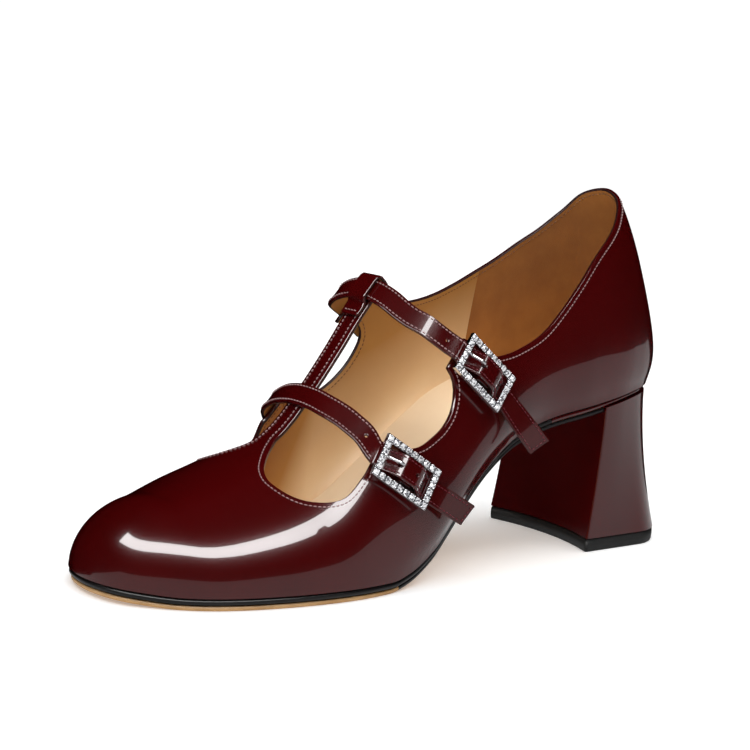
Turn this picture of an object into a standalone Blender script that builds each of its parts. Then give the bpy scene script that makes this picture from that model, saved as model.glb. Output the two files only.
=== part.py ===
"""A left mary jane pump with a T-bar, two buckled straps and a flared block heel.

Metres, +Z up.  The origin is the centre of the heel's floor face.  The toe points to -X, the outer
side of the foot, where the buckles are, faces -Y.
"""
import math

import numpy as np
import bpy
from mathutils import Vector
from mathutils.geometry import delaunay_2d_cdt

# Sizes of the last
LENGTH = 0.2444        # feather line from the heel's back to the toe's tip
BALL_WIDTH = 0.083     # feather line across the ball
INSTEP = 0.100         # ridge over the instep, above the floor, under the rear strap
HEEL_RISE = 0.058      # how much higher the sole lies at the seat than at the ball
BACK_X = 0.0176        # where the feather line ends at the back
SWELL = 0.0032         # how far the counter bulges past the feather line
SWELL_HEIGHT = 0.16    # where the bulge is widest, share of the way up to the ridge
WALL_LENGTH = 0.055    # typical length of the wall from the feather line to the ridge
TOE_POLE = 0.90        # along: the walls of the toe rise to this point of the ridge
HEEL_POLE = 0.17       # along: the walls of the heel rise to this point of the ridge

# Thicknesses and clearances
GAP = 0.0003
WALL = 0.0018
OUTSOLE = 0.0016
RAND = 0.0019
SOLE_GAP = 0.0004       # between the curved plates of the sole
SOLE_STACK = OUTSOLE + SOLE_GAP + RAND + SOLE_GAP

# Sizes of the sole, the insole and the heel
RAND_INSET = 0.0004
SEAT_INSET = 0.0012     # the rand steps back here above the heel
OUTSOLE_INSET = 0.0012
INSOLE = 0.0075          # padded under the heel and the arch
INSOLE_TOE = 0.0022
PAD_ENDS = (0.44, 0.70)  # along: the padding thins out between these
HEEL_DEPTH = 0.050      # floor face, front to back
HEEL_WIDTH = 0.0574     # floor face, side to side
HEEL_TURN = math.radians(4.2)   # the breast faces a little to the inner side
LIFT = 0.0048
BREAST_LEAN = 0.0048    # the breast's top lies this much further back than its foot
BREAST_HOLLOW = 0.005
FLARE = 1.7             # above 1, the heel's sides curve outward near the floor

# Sizes of the T-bar, the straps and the buckles
T_BAR = 0.0078
LOOP_WIDTH = 0.0088
LOOP_LEATHER = 0.0013
STRAP_WIDTH = 0.0083
STRAP = 0.0015
EAR_WIDTH = 0.0130
BUCKLE_LENGTH = 0.0250
BUCKLE_WIDTH = 0.0155
BUCKLE_RIM = 0.0026
BUCKLE_HEIGHT = 0.0020
BAR = 0.0010
BAR_INSET = 0.0002      # the bar lies this far inside the frame's underside
TAB = 0.0007
TAB_WIDTH = 0.0090
TAB_REACH = 0.0062      # the tab's lower leg lies on the ear this far past the buckle's bar
PRONG = 0.0012
PRONG_HOLE = 0.0024
PRONG_ROOT = -0.0042    # along the strap from the buckle's bar to where the prong comes through it

# Spacing of the solids' points
RIM_SPACING = 0.0055    # along the feather line and the edges of the plates
CUT_SPACING = 0.0042    # along the edges of the throat, the ears and the side openings
WALL_SPACING = 0.0062   # over the upper
STRAP_SPACING = 0.0032  # along the straps
PLATE_SPACING = 0.0052  # over the plates of the sole
CLOSEST = 0.6           # points keep this share of the spacing between them

# Feather line seen from above: share of LENGTH from the back, share of BALL_WIDTH to the inner side
OUTLINE = (
    (1.000, 0.04), (0.987, -0.140), (0.951, -0.262), (0.890, -0.388), (0.800, -0.474),
    (0.690, -0.515), (0.620, -0.500), (0.520, -0.435), (0.420, -0.365), (0.310, -0.335),
    (0.200, -0.345), (0.110, -0.318), (0.037, -0.226), (0.000, 0.000), (0.035, 0.232),
    (0.110, 0.325), (0.200, 0.335), (0.310, 0.300), (0.420, 0.280), (0.520, 0.350),
    (0.620, 0.425), (0.700, 0.490), (0.780, 0.490), (0.873, 0.445), (0.943, 0.362),
    (0.985, 0.226),
)

# Sections of the last.  along: share of LENGTH; rise: sole height, share of HEEL_RISE; ridge: share
# of INSTEP; outer and inner: roundness of either wall, 2 is an ellipse; swell: share of SWELL
SECTIONS = (
    # along, rise, ridge, outer, inner, swell
    (0.000, 1.000, 1.50, 1.69, 1.69, 0.80),
    (0.053, 0.980, 1.50, 1.78, 1.78, 0.80),
    (0.120, 0.945, 1.50, 1.95, 1.95, 0.75),
    (0.187, 0.902, 1.49, 2.15, 2.15, 0.70),
    (0.264, 0.850, 1.45, 2.20, 2.20, 0.80),
    (0.350, 0.740, 1.35, 2.20, 2.20, 1.05),
    (0.400, 0.612, 1.28, 2.20, 2.20, 1.20),
    (0.449, 0.440, 1.20, 2.20, 2.30, 1.25),
    (0.490, 0.275, 1.125, 2.20, 2.55, 1.15),
    (0.534, 0.120, 1.035, 2.20, 2.90, 0.90),
    (0.582, 0.030, 0.898, 2.20, 2.60, 0.50),
    (0.620, 0.000, 0.766, 2.20, 2.10, 0.20),
    (0.666, 0.000, 0.620, 2.20, 1.85, 0.00),
    (0.712, 0.000, 0.500, 2.20, 1.85, 0.00),
    (0.760, 0.000, 0.430, 2.25, 2.05, 0.00),
    (0.830, 0.000, 0.366, 2.30, 2.15, 0.00),
    (0.920, 0.000, 0.304, 2.30, 1.95, 0.00),
    (1.000, 0.022, 0.280, 2.20, 1.90, 0.00),
)
ALONG, RISE, RIDGE, OUTER, INNER, SWELLING = range(6)


def column(table, name, at):
    """A column of a table at any place, by a smooth curve that never overshoots its rows."""
    rows = np.array(table, float)
    xs, ys = rows[:, 0], rows[:, name]
    steps = np.diff(xs)
    slopes = np.diff(ys) / steps
    tangents = np.zeros_like(ys)
    for i in range(1, len(xs) - 1):
        if slopes[i - 1] * slopes[i] > 0:
            before, after = 2 * steps[i] + steps[i - 1], steps[i] + 2 * steps[i - 1]
            tangents[i] = (before + after) / (before / slopes[i - 1] + after / slopes[i])
    at = np.clip(np.asarray(at, float), xs[0], xs[-1])
    i = np.clip(np.searchsorted(xs, at, side="right") - 1, 0, len(steps) - 1)
    t = (at - xs[i]) / steps[i]
    return (ys[i] * (1 + 2 * t) * (1 - t) ** 2 + tangents[i] * steps[i] * t * (1 - t) ** 2
            + ys[i + 1] * t * t * (3 - 2 * t) + tangents[i + 1] * steps[i] * t * t * (t - 1))


def smooth_loop(points, per=24):
    """A smooth closed curve through points, with per samples in each span."""
    p = np.asarray(points, float)
    n = len(p)
    d = np.sqrt(np.linalg.norm(np.roll(p, -1, 0) - p, axis=1))
    t = (np.arange(per) / per)[:, None]
    spans = []
    for i in range(n):
        p0, p1, p2, p3 = p[i - 1], p[i], p[(i + 1) % n], p[(i + 2) % n]
        d0, d1, d2 = d[i - 1], d[i], d[(i + 1) % n]
        m1 = d1 * ((p1 - p0) / d0 - (p2 - p0) / (d0 + d1) + (p2 - p1) / d1)
        m2 = d1 * ((p2 - p1) / d1 - (p3 - p1) / (d1 + d2) + (p3 - p2) / d2)
        spans.append(p1 * (1 + 2 * t) * (1 - t) ** 2 + m1 * t * (1 - t) ** 2
                     + p2 * t * t * (3 - 2 * t) + m2 * t * t * (t - 1))
    return np.vstack(spans)


class Last:
    """The shape of the foot form: a feather line and walls that rise from it to a ridge."""

    def __init__(self):
        self.line = smooth_loop(np.array(OUTLINE) * (LENGTH, BALL_WIDTH))
        tip = int(self.line[:, 0].argmax())
        self.line = np.roll(self.line, -tip, axis=0)
        self.back = int(self.line[:, 0].argmin())
        closed = np.vstack([self.line, self.line[:1]])
        run = np.linalg.norm(np.diff(closed, axis=0), axis=1)
        self.run = np.concatenate([[0], np.cumsum(run)])
        self.girth = self.run[-1]
        self.closed = closed

    def station(self, along, side):
        """Place on the feather line, 0 to 1 from the toe's tip round the outer side."""
        along = np.asarray(along, float) * LENGTH
        if side < 0:
            part = slice(self.back, None, -1)
            return np.interp(along, self.closed[part, 0], self.run[part]) / self.girth
        part = slice(self.back, None)
        return np.interp(along, self.closed[part, 0], self.run[part]) / self.girth

    def feather(self, place):
        """Distance along and across of a place on the feather line."""
        run = (np.asarray(place, float) % 1.0) * self.girth
        return (np.interp(run, self.run, self.closed[:, 0]),
                np.interp(run, self.run, self.closed[:, 1]))

    def wall(self, place, level):
        """Outer surface at a place round the shoe and a level, 0 at the feather line, 1 at the ridge."""
        along, across = self.feather(place)
        share = along / LENGTH
        pole = np.clip(share, HEEL_POLE, TOE_POLE)
        turn = np.clip(level, 0, 1) * math.pi / 2
        power = 2 / roundness(share, across)
        out = np.cos(turn) ** power
        up = np.sin(turn) ** power
        low = sole_top(share)
        high = column(SECTIONS, RIDGE, pole) * INSTEP
        ridge_x = pole * LENGTH
        dx, dy = along - ridge_x, across
        reach = np.hypot(dx, dy)
        bump = (up / SWELL_HEIGHT * np.exp(1 - up / SWELL_HEIGHT)) ** 1.5
        grow = 1 + column(SECTIONS, SWELLING, share) * SWELL * bump / reach / np.maximum(out, 0.2)
        x = ridge_x + dx * out * grow
        y = dy * out * grow
        return np.stack([BACK_X - x, y, low + (high - low) * up], axis=-1)


def roundness(along, side):
    """Roundness of the outer wall where side is negative, or of the inner one."""
    return np.where(np.asarray(side) < 0, column(SECTIONS, OUTER, along), column(SECTIONS, INNER, along))


def ground(along):
    """Height of the sole's underside."""
    return column(SECTIONS, RISE, along) * HEEL_RISE


def sole_top(along):
    """Height of the feather line, on top of outsole and rand."""
    return ground(along) + SOLE_STACK


last = Last()


# Cut of the upper.  Each row is a place on the wall: along, share of LENGTH; height, share of the way
# up from the feather line to the ridge.  The outer side is the one with the buckles.
THROAT_OUTER = ((0.739, 0.993), (0.755, 0.982), (0.770, 0.958), (0.777, 0.915), (0.774, 0.860),
                (0.765, 0.790), (0.752, 0.728), (0.734, 0.671), (0.714, 0.624), (0.693, 0.596))
THROAT_INNER = ((0.739, 0.993), (0.755, 0.982), (0.768, 0.958), (0.774, 0.915), (0.768, 0.862),
                (0.752, 0.780), (0.728, 0.685), (0.702, 0.615), (0.676, 0.575), (0.656, 0.575))
SCOOP_OUTER = ((0.605, 0.570), (0.597, 0.540), (0.582, 0.503), (0.563, 0.467), (0.540, 0.445),
               (0.516, 0.437), (0.500, 0.455), (0.493, 0.495), (0.493, 0.540))
SCOOP_INNER = ((0.606, 0.622), (0.584, 0.560), (0.555, 0.512), (0.525, 0.500), (0.498, 0.532),
               (0.487, 0.600), (0.496, 0.680))
TOPLINE_OUTER = ((0.430, 0.500), (0.411, 0.441), (0.388, 0.402), (0.360, 0.374), (0.312, 0.370),
                 (0.278, 0.412), (0.240, 0.490), (0.197, 0.590), (0.150, 0.670), (0.090, 0.750),
                 (0.035, 0.805))
TOPLINE_BACK = 0.825
TOPLINE_INNER = ((0.035, 0.792), (0.085, 0.712), (0.149, 0.614), (0.215, 0.536), (0.265, 0.505),
                 (0.314, 0.498), (0.362, 0.520), (0.405, 0.575), (0.446, 0.655))
T_BAR_ROOT = 0.722     # along: the T-bar's straight sides start here
T_BAR_TAIL = 0.0028    # length of the T-bar past the middle of the rear strap

# Course of the straps over the last.  lean: 0 on the ridge, -1 at the outer feather line, 1 at the
# inner one; along: share of LENGTH
FRONT_COURSE = ((-0.900, 0.518), (-0.844, 0.546), (-0.728, 0.600), (-0.583, 0.634), (-0.356, 0.657),
                (-0.150, 0.667), (0.050, 0.669), (0.250, 0.664), (0.400, 0.650), (0.560, 0.626),
                (0.700, 0.600))
REAR_COURSE = ((-0.920, 0.372), (-0.856, 0.398), (-0.739, 0.442), (-0.606, 0.480), (-0.461, 0.519),
               (-0.267, 0.552), (-0.100, 0.558), (0.100, 0.559), (0.280, 0.553), (0.420, 0.534),
               (0.560, 0.500), (0.700, 0.465))
LEAN, COURSE = 0, 1
STRAPS = (
    # name, course, lean at the buckle, lean at the inner end, tail length, height of the buckle's
    # underside above the ear, and the tail's turn in its own plane, away from the ear and about itself
    ("front", FRONT_COURSE, -0.714, 0.640, 0.0178, 0.0016, -2.0, 3.0, 30.0),
    ("rear", REAR_COURSE, -0.720, 0.640, 0.0235, 0.0026, 14.0, 9.0, 38.0),
)
EAR_REACH = 0.0120      # the outer ears run this far above the buckle's middle
EAR_INNER_TOP = 0.480   # lean at the top of the inner ears
STRAP_LIFT = 0.0004     # underside of a strap above the upper
STRAP_RUN_IN = 0.0035   # the strap leaves the upper this far before the buckle
HUMP = 0.0038           # half the length of strap that lies raised on the bar


def arc_places(rows, side):
    """Place and level of rows of along and height."""
    along = np.array([row[0] for row in rows])
    height = np.array([row[1] for row in rows])
    power = roundness(along, side) / 2
    return np.stack([last.station(along, side),
                     np.arcsin(height ** power) * 2 / math.pi], axis=-1)


def on_course(course, lean):
    """Place and level of a strap's middle line at some leans."""
    lean = np.atleast_1d(np.asarray(lean, float))
    along = column(course, COURSE, lean)
    place = np.where(lean < 0, last.station(along, -1), last.station(along, 1))
    return np.stack([place, 1 - np.abs(lean)], axis=-1)


def surface(spots):
    """Points of the outer surface at rows of place and level."""
    return last.wall(spots[:, 0], spots[:, 1])


def slopes_at(spots):
    """Directions of the surface, per unit of place and of level."""
    step = 1e-4
    place, level = spots[:, 0], np.clip(spots[:, 1], 0.004, 0.985)
    round_ = (last.wall(place + step, level) - last.wall(place - step, level)) / (2 * step)
    rise = (last.wall(place, level + step) - last.wall(place, level - step)) / (2 * step)
    return round_, rise


def normals_at(spots):
    """Outward normals of the outer surface."""
    round_, rise = slopes_at(spots)
    n = np.cross(round_, rise)
    n /= np.linalg.norm(n, axis=1)[:, None]
    return n


def shifted(spot, move):
    """The spot reached from another one by a small move along the surface."""
    spot = np.array([spot], float)
    for share in (0.5, 0.5):
        round_, rise = slopes_at(spot)
        basis = np.stack([round_[0], rise[0]], axis=1)
        spot = spot + np.linalg.lstsq(basis, np.asarray(move) * share, rcond=None)[0]
    return spot[0]


def unit(v):
    return v / np.linalg.norm(v)


def smooth_line(points, spacing):
    """A smooth open curve through points, resampled evenly."""
    p = np.asarray(points, float)
    p = np.vstack([2 * p[0] - p[1], p, 2 * p[-1] - p[-2]])
    t = np.linspace(0, 1, 12, endpoint=False)[:, None]
    curve = []
    for p0, p1, p2, p3 in zip(p[:-3], p[1:-2], p[2:-1], p[3:]):
        d0, d1, d2 = (math.sqrt(np.linalg.norm(b - a)) for a, b in ((p0, p1), (p1, p2), (p2, p3)))
        m1 = d1 * ((p1 - p0) / d0 - (p2 - p0) / (d0 + d1) + (p2 - p1) / d1)
        m2 = d1 * ((p2 - p1) / d1 - (p3 - p1) / (d1 + d2) + (p3 - p2) / d2)
        curve.append(p1 * (1 + 2 * t) * (1 - t) ** 2 + m1 * t * (1 - t) ** 2
                     + p2 * t * t * (3 - 2 * t) + m2 * t * t * (t - 1))
    curve = np.vstack(curve + [p[-2:-1]])
    run = np.concatenate([[0], np.cumsum(np.linalg.norm(np.diff(curve, axis=0), axis=1))])
    count = max(2, int(round(run[-1] / spacing)) + 1)
    even = np.linspace(0, run[-1], count)
    return np.stack([np.interp(even, run, curve[:, k]) for k in range(curve.shape[1])], axis=-1)


# Blender objects

def material(name, colour, roughness, metallic=0.0):
    made = bpy.data.materials.new(name)
    made.use_nodes = True
    shader = made.node_tree.nodes["Principled BSDF"]
    shader.inputs["Base Color"].default_value = (*colour, 1)
    shader.inputs["Roughness"].default_value = roughness
    shader.inputs["Metallic"].default_value = metallic
    return made


def add_object(name, points, faces, look, smooth_angle=40):
    """One closed solid, turned so that its faces point out."""
    points = np.asarray(points, float)
    volume = 0.0
    for face in faces:
        for b, c in zip(face[1:-1], face[2:]):
            volume += np.dot(points[face[0]], np.cross(points[b], points[c]))
    if volume < 0:
        faces = [tuple(reversed(face)) for face in faces]
    mesh = bpy.data.meshes.new(name)
    mesh.from_pydata([tuple(p) for p in points], [], faces)
    mesh.update()
    mesh.materials.append(look)
    mesh.shade_smooth()
    mesh.set_sharp_from_angle(angle=math.radians(smooth_angle))
    made = bpy.data.objects.new(name, mesh)
    bpy.context.scene.collection.objects.link(made)
    return made


def triangulate(flat, loops):
    """Triangles that fill the area between closed loops of indices, through every point."""
    edges = [(loop[i], loop[(i + 1) % len(loop)]) for loop in loops for i in range(len(loop))]
    _, _, faces, origin, _, _ = delaunay_2d_cdt([Vector(p) for p in flat], edges, [], 2, 1e-7)
    return [tuple(origin[i][0] for i in face) for face in faces]


def corner_angle(points, corner, a, b):
    u, v = points[a] - points[corner], points[b] - points[corner]
    return math.atan2(np.linalg.norm(np.cross(u, v)), np.dot(u, v))


def evened(points, faces, rounds=12):
    """Triangles whose shared edges are flipped where that makes them rounder on the curved wall."""
    faces = [list(face) for face in faces]
    for _ in range(rounds):
        owners = {}
        for index, face in enumerate(faces):
            for i in range(3):
                owners[(face[i], face[(i + 1) % 3])] = index
        changed, count = set(), 0
        for (a, b), index in sorted(owners.items()):
            other = owners.get((b, a))
            if other is None or a > b or index in changed or other in changed:
                continue
            c = next(i for i in faces[index] if i not in (a, b))
            d = next(i for i in faces[other] if i not in (a, b))
            if (c, d) in owners or (d, c) in owners:
                continue
            if corner_angle(points, c, a, b) + corner_angle(points, d, a, b) > math.pi + 0.01:
                faces[index], faces[other] = [c, a, d], [d, b, c]
                changed |= {index, other}
                count += 1
        if not count:
            break
    return [tuple(face) for face in faces]


def thick_sheet(top, bottom, faces):
    """Faces of a solid between two layers with the same triangles."""
    n = len(top)
    directed = set()
    for face in faces:
        for i in range(3):
            directed.add((face[i], face[(i + 1) % 3]))
    rim = [(b, a, a + n, b + n) for a, b in directed if (b, a) not in directed]
    under = [tuple(n + i for i in reversed(face)) for face in faces]
    return np.vstack([top, bottom]), list(faces) + under + sorted(rim)


def inside(points, loop):
    """Which points lie inside a closed flat loop."""
    x, y = points[:, 0], points[:, 1]
    odd = np.zeros(len(points), bool)
    for (x1, y1), (x2, y2) in zip(loop, np.roll(loop, -1, axis=0)):
        crosses = (y1 > y) != (y2 > y)
        at = x1 + (y - y1) * (x2 - x1) / (y2 - y1 if y2 != y1 else 1e-12)
        odd ^= crosses & (x < at)
    return odd


def spread(candidates, taken, apart):
    """Candidates that keep their distance from taken points and from each other."""
    kept = []
    cloud = np.array(taken)
    for i, point in enumerate(candidates):
        if np.min(np.sum((cloud - point) ** 2, axis=1)) >= apart ** 2:
            kept.append(i)
            cloud = np.vstack([cloud, point])
    return kept


def flat_plate(name, loop, low, high, look):
    """A plate with an outline seen from above and two height functions of along."""
    loop = np.asarray(loop, float)
    step_x = np.arange(BACK_X - LENGTH, BACK_X, PLATE_SPACING)
    step_y = np.arange(-BALL_WIDTH / 2, BALL_WIDTH / 2, PLATE_SPACING * 1.8)
    grid = np.array([(x, y) for x in step_x for y in step_y])
    grid = grid[inside(grid, loop)]
    kept = spread(grid, loop, PLATE_SPACING * CLOSEST)
    flat = np.vstack([loop, grid[kept]])
    faces = triangulate(flat, [list(range(len(loop)))])
    along = (BACK_X - flat[:, 0]) / LENGTH
    top = np.column_stack([flat, high(along)])
    bottom = np.column_stack([flat, low(along)])
    points, faces = thick_sheet(top, bottom, faces)
    return add_object(name, points, faces, look)


def outline_loop(inset):
    """The feather line seen from above, moved inward by a function of along."""
    count = int(last.girth / RIM_SPACING)
    place = np.arange(count) / count
    along, across = last.feather(place)
    step = 1e-3
    a1, c1 = last.feather(place + step)
    a0, c0 = last.feather(place - step)
    tangent = np.stack([a0 - a1, c1 - c0], axis=-1)
    tangent /= np.linalg.norm(tangent, axis=1)[:, None]
    normal = np.stack([tangent[:, 1], -tangent[:, 0]], axis=-1)
    points = np.stack([BACK_X - along, across], axis=-1)
    middle = points.mean(axis=0)
    if np.sum((points - middle) * normal) < 0:
        normal = -normal
    return points - normal * np.reshape(inset(along / LENGTH), (-1, 1))


def chart(spots):
    """The wall laid flat: the ridge in the middle, the feather line as the outer edge."""
    place, level = spots[:, 0], spots[:, 1]
    along, across = last.feather(place)
    share = along / LENGTH
    pole = np.clip(share, HEEL_POLE, TOE_POLE)
    ridge = np.stack([pole * LENGTH, 0 * pole], axis=-1)
    reach = np.stack([along, across], axis=-1) - ridge
    width = np.linalg.norm(reach, axis=1)
    rise = column(SECTIONS, RIDGE, pole) * INSTEP - sole_top(share)
    stretch = np.hypot(width, rise) / width
    return ridge + reach * (stretch * (1 - level))[:, None]


class Buckle:
    """Local directions of a strap at its buckle: forward along the strap, across, and outward."""

    def __init__(self, course, lean, low):
        spot = on_course(course, lean)
        self.spot = spot[0]
        self.origin = surface(spot)[0]
        self.out = normals_at(spot)[0]
        step = 0.02
        ahead = surface(on_course(course, lean - step))[0]
        behind = surface(on_course(course, lean + step))[0]
        forward = ahead - behind
        self.forward = unit(forward - self.out * np.dot(forward, self.out))
        self.side = np.cross(self.out, self.forward)
        self.low = low
        self.bar = low + BAR / 2 + BAR_INSET
        self.tab_top = self.bar + BAR / math.sqrt(2) + GAP + TAB
        self.strap_over = self.tab_top + GAP
        self.strap_under = low - GAP - STRAP

    def point(self, forward, side, out):
        return self.origin + self.forward * forward + self.side * side + self.out * out


def ear_corners(course, lean, reach):
    """The two top corners of an ear, reach above a spot of the strap's course."""
    step = 0.01
    spot = on_course(course, lean)
    here = surface(spot)[0]
    ahead = surface(on_course(course, lean - step))[0]
    behind = surface(on_course(course, lean + step))[0]
    direction = unit(behind - ahead)
    across = unit(np.cross(normals_at(spot)[0], direction))
    up = direction * reach
    half = across * EAR_WIDTH / 2
    corners = [shifted(spot[0], up + half), shifted(spot[0], up - half)]
    heights = [surface(np.array([c]))[0][2] for c in corners]
    high, low = (corners[0], corners[1]) if heights[0] > heights[1] else (corners[1], corners[0])
    return high, low


def metric(spots):
    """Place and level in lengths, so that curves through them come out even."""
    return np.asarray(spots) * (last.girth, WALL_LENGTH)


def curve_on_wall(spots, spacing=CUT_SPACING):
    """Smooth curve through spots."""
    return smooth_line(metric(spots), spacing) / (last.girth, WALL_LENGTH)


def t_bar_side(side, along):
    """Spots on the T-bar's edge."""
    reach = np.abs(last.feather(last.station(along, side))[1])
    power = roundness(along, side) / 2
    level = np.arccos((T_BAR / 2 / reach) ** power) * 2 / math.pi
    return np.stack([last.station(along, side), level], axis=-1)


def ridge_point(along):
    return surface(np.array([[last.station(along, -1), 1.0]]))[0]


def along_per_length(along):
    """Change of along for a unit of length on the ridge."""
    step = 0.01
    return step / np.linalg.norm(ridge_point(along + step / 2) - ridge_point(along - step / 2))


def half_cut(side, throat, scoop):
    """Edge of the upper on one side, from the T-bar's end to the rear ear's far corner."""
    corners = []
    for _, course, lean, *_ in STRAPS:
        corners.append(ear_corners(course, lean, EAR_REACH) if side < 0
                       else ear_corners(course, EAR_INNER_TOP, 0.0))
    (front_far, front_near), (rear_far, rear_near) = corners
    middle = column(REAR_COURSE, COURSE, 0.0)
    end = middle - T_BAR_TAIL * along_per_length(middle)
    edge = t_bar_side(side, np.linspace(end, T_BAR_ROOT, 12))
    pieces = [
        edge,
        curve_on_wall(np.vstack([edge[-1], arc_places(throat, side), front_near])),
        curve_on_wall(np.vstack([front_near, front_far])),
        curve_on_wall(np.vstack([front_far, arc_places(scoop, side), rear_near])),
        curve_on_wall(np.vstack([rear_near, rear_far])),
    ]
    return np.vstack([pieces[0]] + [piece[1:] for piece in pieces[1:]])


def upper_cut():
    """The one inner edge of the upper, from the T-bar's end round the outer side and back."""
    outer = half_cut(-1, THROAT_OUTER, SCOOP_OUTER)
    inner = half_cut(1, THROAT_INNER, SCOOP_INNER)
    collar = curve_on_wall(np.vstack([
        outer[-1], arc_places(TOPLINE_OUTER, -1), arc_places(((0.0, TOPLINE_BACK),), -1),
        arc_places(TOPLINE_INNER, 1), inner[-1]]), RIM_SPACING)
    return np.vstack([outer, collar[1:-1], inner[::-1]])


def build_upper(look):
    """Vamp, T-bar and quarters as one hollow wall, open below and at the cut."""
    count = int(last.girth / RIM_SPACING)
    feather = np.stack([np.arange(count) / count, np.zeros(count)], axis=-1)
    cut = upper_cut()
    rim = np.vstack([feather, cut])
    loops = [list(range(count)), list(range(count, len(rim)))]
    places = np.arange(0, 1, WALL_SPACING / last.girth)
    candidates = []
    for place in places:
        levels = np.linspace(0, 1, 200)
        line = last.wall(np.full(200, place), levels)
        run = np.concatenate([[0], np.cumsum(np.linalg.norm(np.diff(line, axis=0), axis=1))])
        stops = np.interp(np.arange(WALL_SPACING, run[-1], WALL_SPACING), run, levels)
        candidates += [(place, level) for level in stops]
    candidates = np.array(candidates)
    candidates = candidates[~inside(chart(candidates), chart(cut))]
    kept = spread(surface(candidates), surface(rim), WALL_SPACING * CLOSEST)
    spots = np.vstack([rim, candidates[kept]])
    flat = chart(spots)
    faces = np.array(triangulate(flat, loops))
    faces = faces[~inside(flat[faces].mean(axis=1), chart(cut))]
    outer = surface(spots)
    faces = evened(outer, faces)
    normals = np.zeros_like(outer)
    for a, b, c in faces:
        n = np.cross(outer[b] - outer[a], outer[c] - outer[a])
        for i in (a, b, c):
            normals[i] += n
    normals /= np.linalg.norm(normals, axis=1)[:, None]
    middle = outer.mean(axis=0)
    if np.sum((outer - middle) * normals) < 0:
        normals = -normals
        faces = [tuple(reversed(face)) for face in faces]
    level_rim = np.arange(len(spots)) < count
    normals[level_rim, 2] = 0
    normals /= np.linalg.norm(normals, axis=1)[:, None]
    points, faces = thick_sheet(outer, outer - normals * WALL, faces)
    return add_object("upper", points, faces, look)


def breast_line():
    """A point and a direction of the breast's top edge, seen from above."""
    x = -HEEL_DEPTH / 2 + BREAST_LEAN
    return np.array([x, 0.0]), np.array([math.sin(HEEL_TURN), math.cos(HEEL_TURN)])


def ahead_of_breast(points, clearance):
    """How far points lie ahead of the breast's top edge."""
    foot, along_edge = breast_line()
    forward = np.array([-along_edge[1], along_edge[0]])
    return (points - foot) @ forward - clearance


def cut_loop(loop, keep_ahead, clearance):
    """The part of a closed loop ahead of the breast, or behind it, closed by a straight edge."""
    side = ahead_of_breast(loop, clearance) * (1 if keep_ahead else -1)
    start = next(i for i in range(len(loop)) if side[i - 1] <= 0 < side[i])
    loop, side = np.roll(loop, -start, axis=0), np.roll(side, -start)
    kept = loop[side > 0]
    first = loop[-1] + (loop[0] - loop[-1]) * side[-1] / (side[-1] - side[0])
    last_in = len(kept) - 1
    t = side[last_in] / (side[last_in] - side[last_in + 1])
    final = loop[last_in] + (loop[last_in + 1] - loop[last_in]) * t
    return np.vstack([first, kept, final])


def straight(a, b, spacing):
    """Points between two ends, without the ends."""
    count = max(1, int(round(np.linalg.norm(b - a) / spacing)))
    return a + (b - a) * (np.arange(1, count) / count)[:, None]


def build_sole(tan, black, cream):
    """Outsole, rand and insole."""
    def rand_inset(along):
        return np.interp(along, (0.12, 0.22), (SEAT_INSET, RAND_INSET))

    def rand_low(along):
        return ground(along) + OUTSOLE + SOLE_GAP

    def rand_high(along):
        return rand_low(along) + RAND

    def insole_high(along):
        return sole_top(along) + np.interp(along, PAD_ENDS, (INSOLE, INSOLE_TOE))

    flat_plate("rand", outline_loop(rand_inset), rand_low, rand_high, black)
    inner = WALL + 2 * GAP
    flat_plate("insole", outline_loop(lambda along: inner + 0 * along), sole_top, insole_high, cream)
    forepart = cut_loop(outline_loop(lambda along: OUTSOLE_INSET + 0 * along), True, GAP)
    edge = straight(forepart[-1], forepart[0], RIM_SPACING)
    flat_plate("outsole", np.vstack([forepart, edge]), ground, lambda along: ground(along) + OUTSOLE, tan)


def hollow_edge(a, b, depth, count=8):
    """Points of a shallow arc between two corners, without the corners."""
    t = (np.arange(1, count) / count)[:, None]
    edge = a + (b - a) * t
    back = np.array([b[1] - a[1], a[0] - b[0]])
    back = back / np.linalg.norm(back)
    if back[0] < 0:
        back = -back
    return edge + back * depth * 4 * t * (1 - t)


def resample(points, count):
    run = np.concatenate([[0], np.cumsum(np.linalg.norm(np.diff(points, axis=0), axis=1))])
    even = np.linspace(0, run[-1], count)
    return np.stack([np.interp(even, run, points[:, k]) for k in range(2)], axis=-1)


def heel_floor_loop(count):
    """Outline of the heel's floor face: a hollow breast, straight sides and a round back."""
    half = HEEL_WIDTH / 2
    turn = np.linspace(-math.pi / 2, math.pi / 2, 40)
    centre = HEEL_DEPTH * 0.05
    reach = HEEL_DEPTH / 2 - centre
    round_back = np.stack([centre + reach * np.cos(turn), half * np.sin(turn)], axis=-1)
    foot = -HEEL_DEPTH / 2
    skew = half * math.tan(HEEL_TURN)
    outer, inner = np.array([foot - skew, -half]), np.array([foot + skew, half])
    side = resample(np.vstack([outer, round_back, inner]), count)
    return np.vstack([side, hollow_edge(inner, outer, BREAST_HOLLOW)])


def heel_top_loop(count):
    """Outline of the heel's top, under the rand."""
    behind = cut_loop(outline_loop(lambda along: RAND_INSET + 0 * along), False, 0)
    if behind[0, 1] > behind[-1, 1]:
        behind = behind[::-1]
    side = resample(behind, count)
    return np.vstack([side, hollow_edge(side[-1], side[0], BREAST_HOLLOW)])


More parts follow.
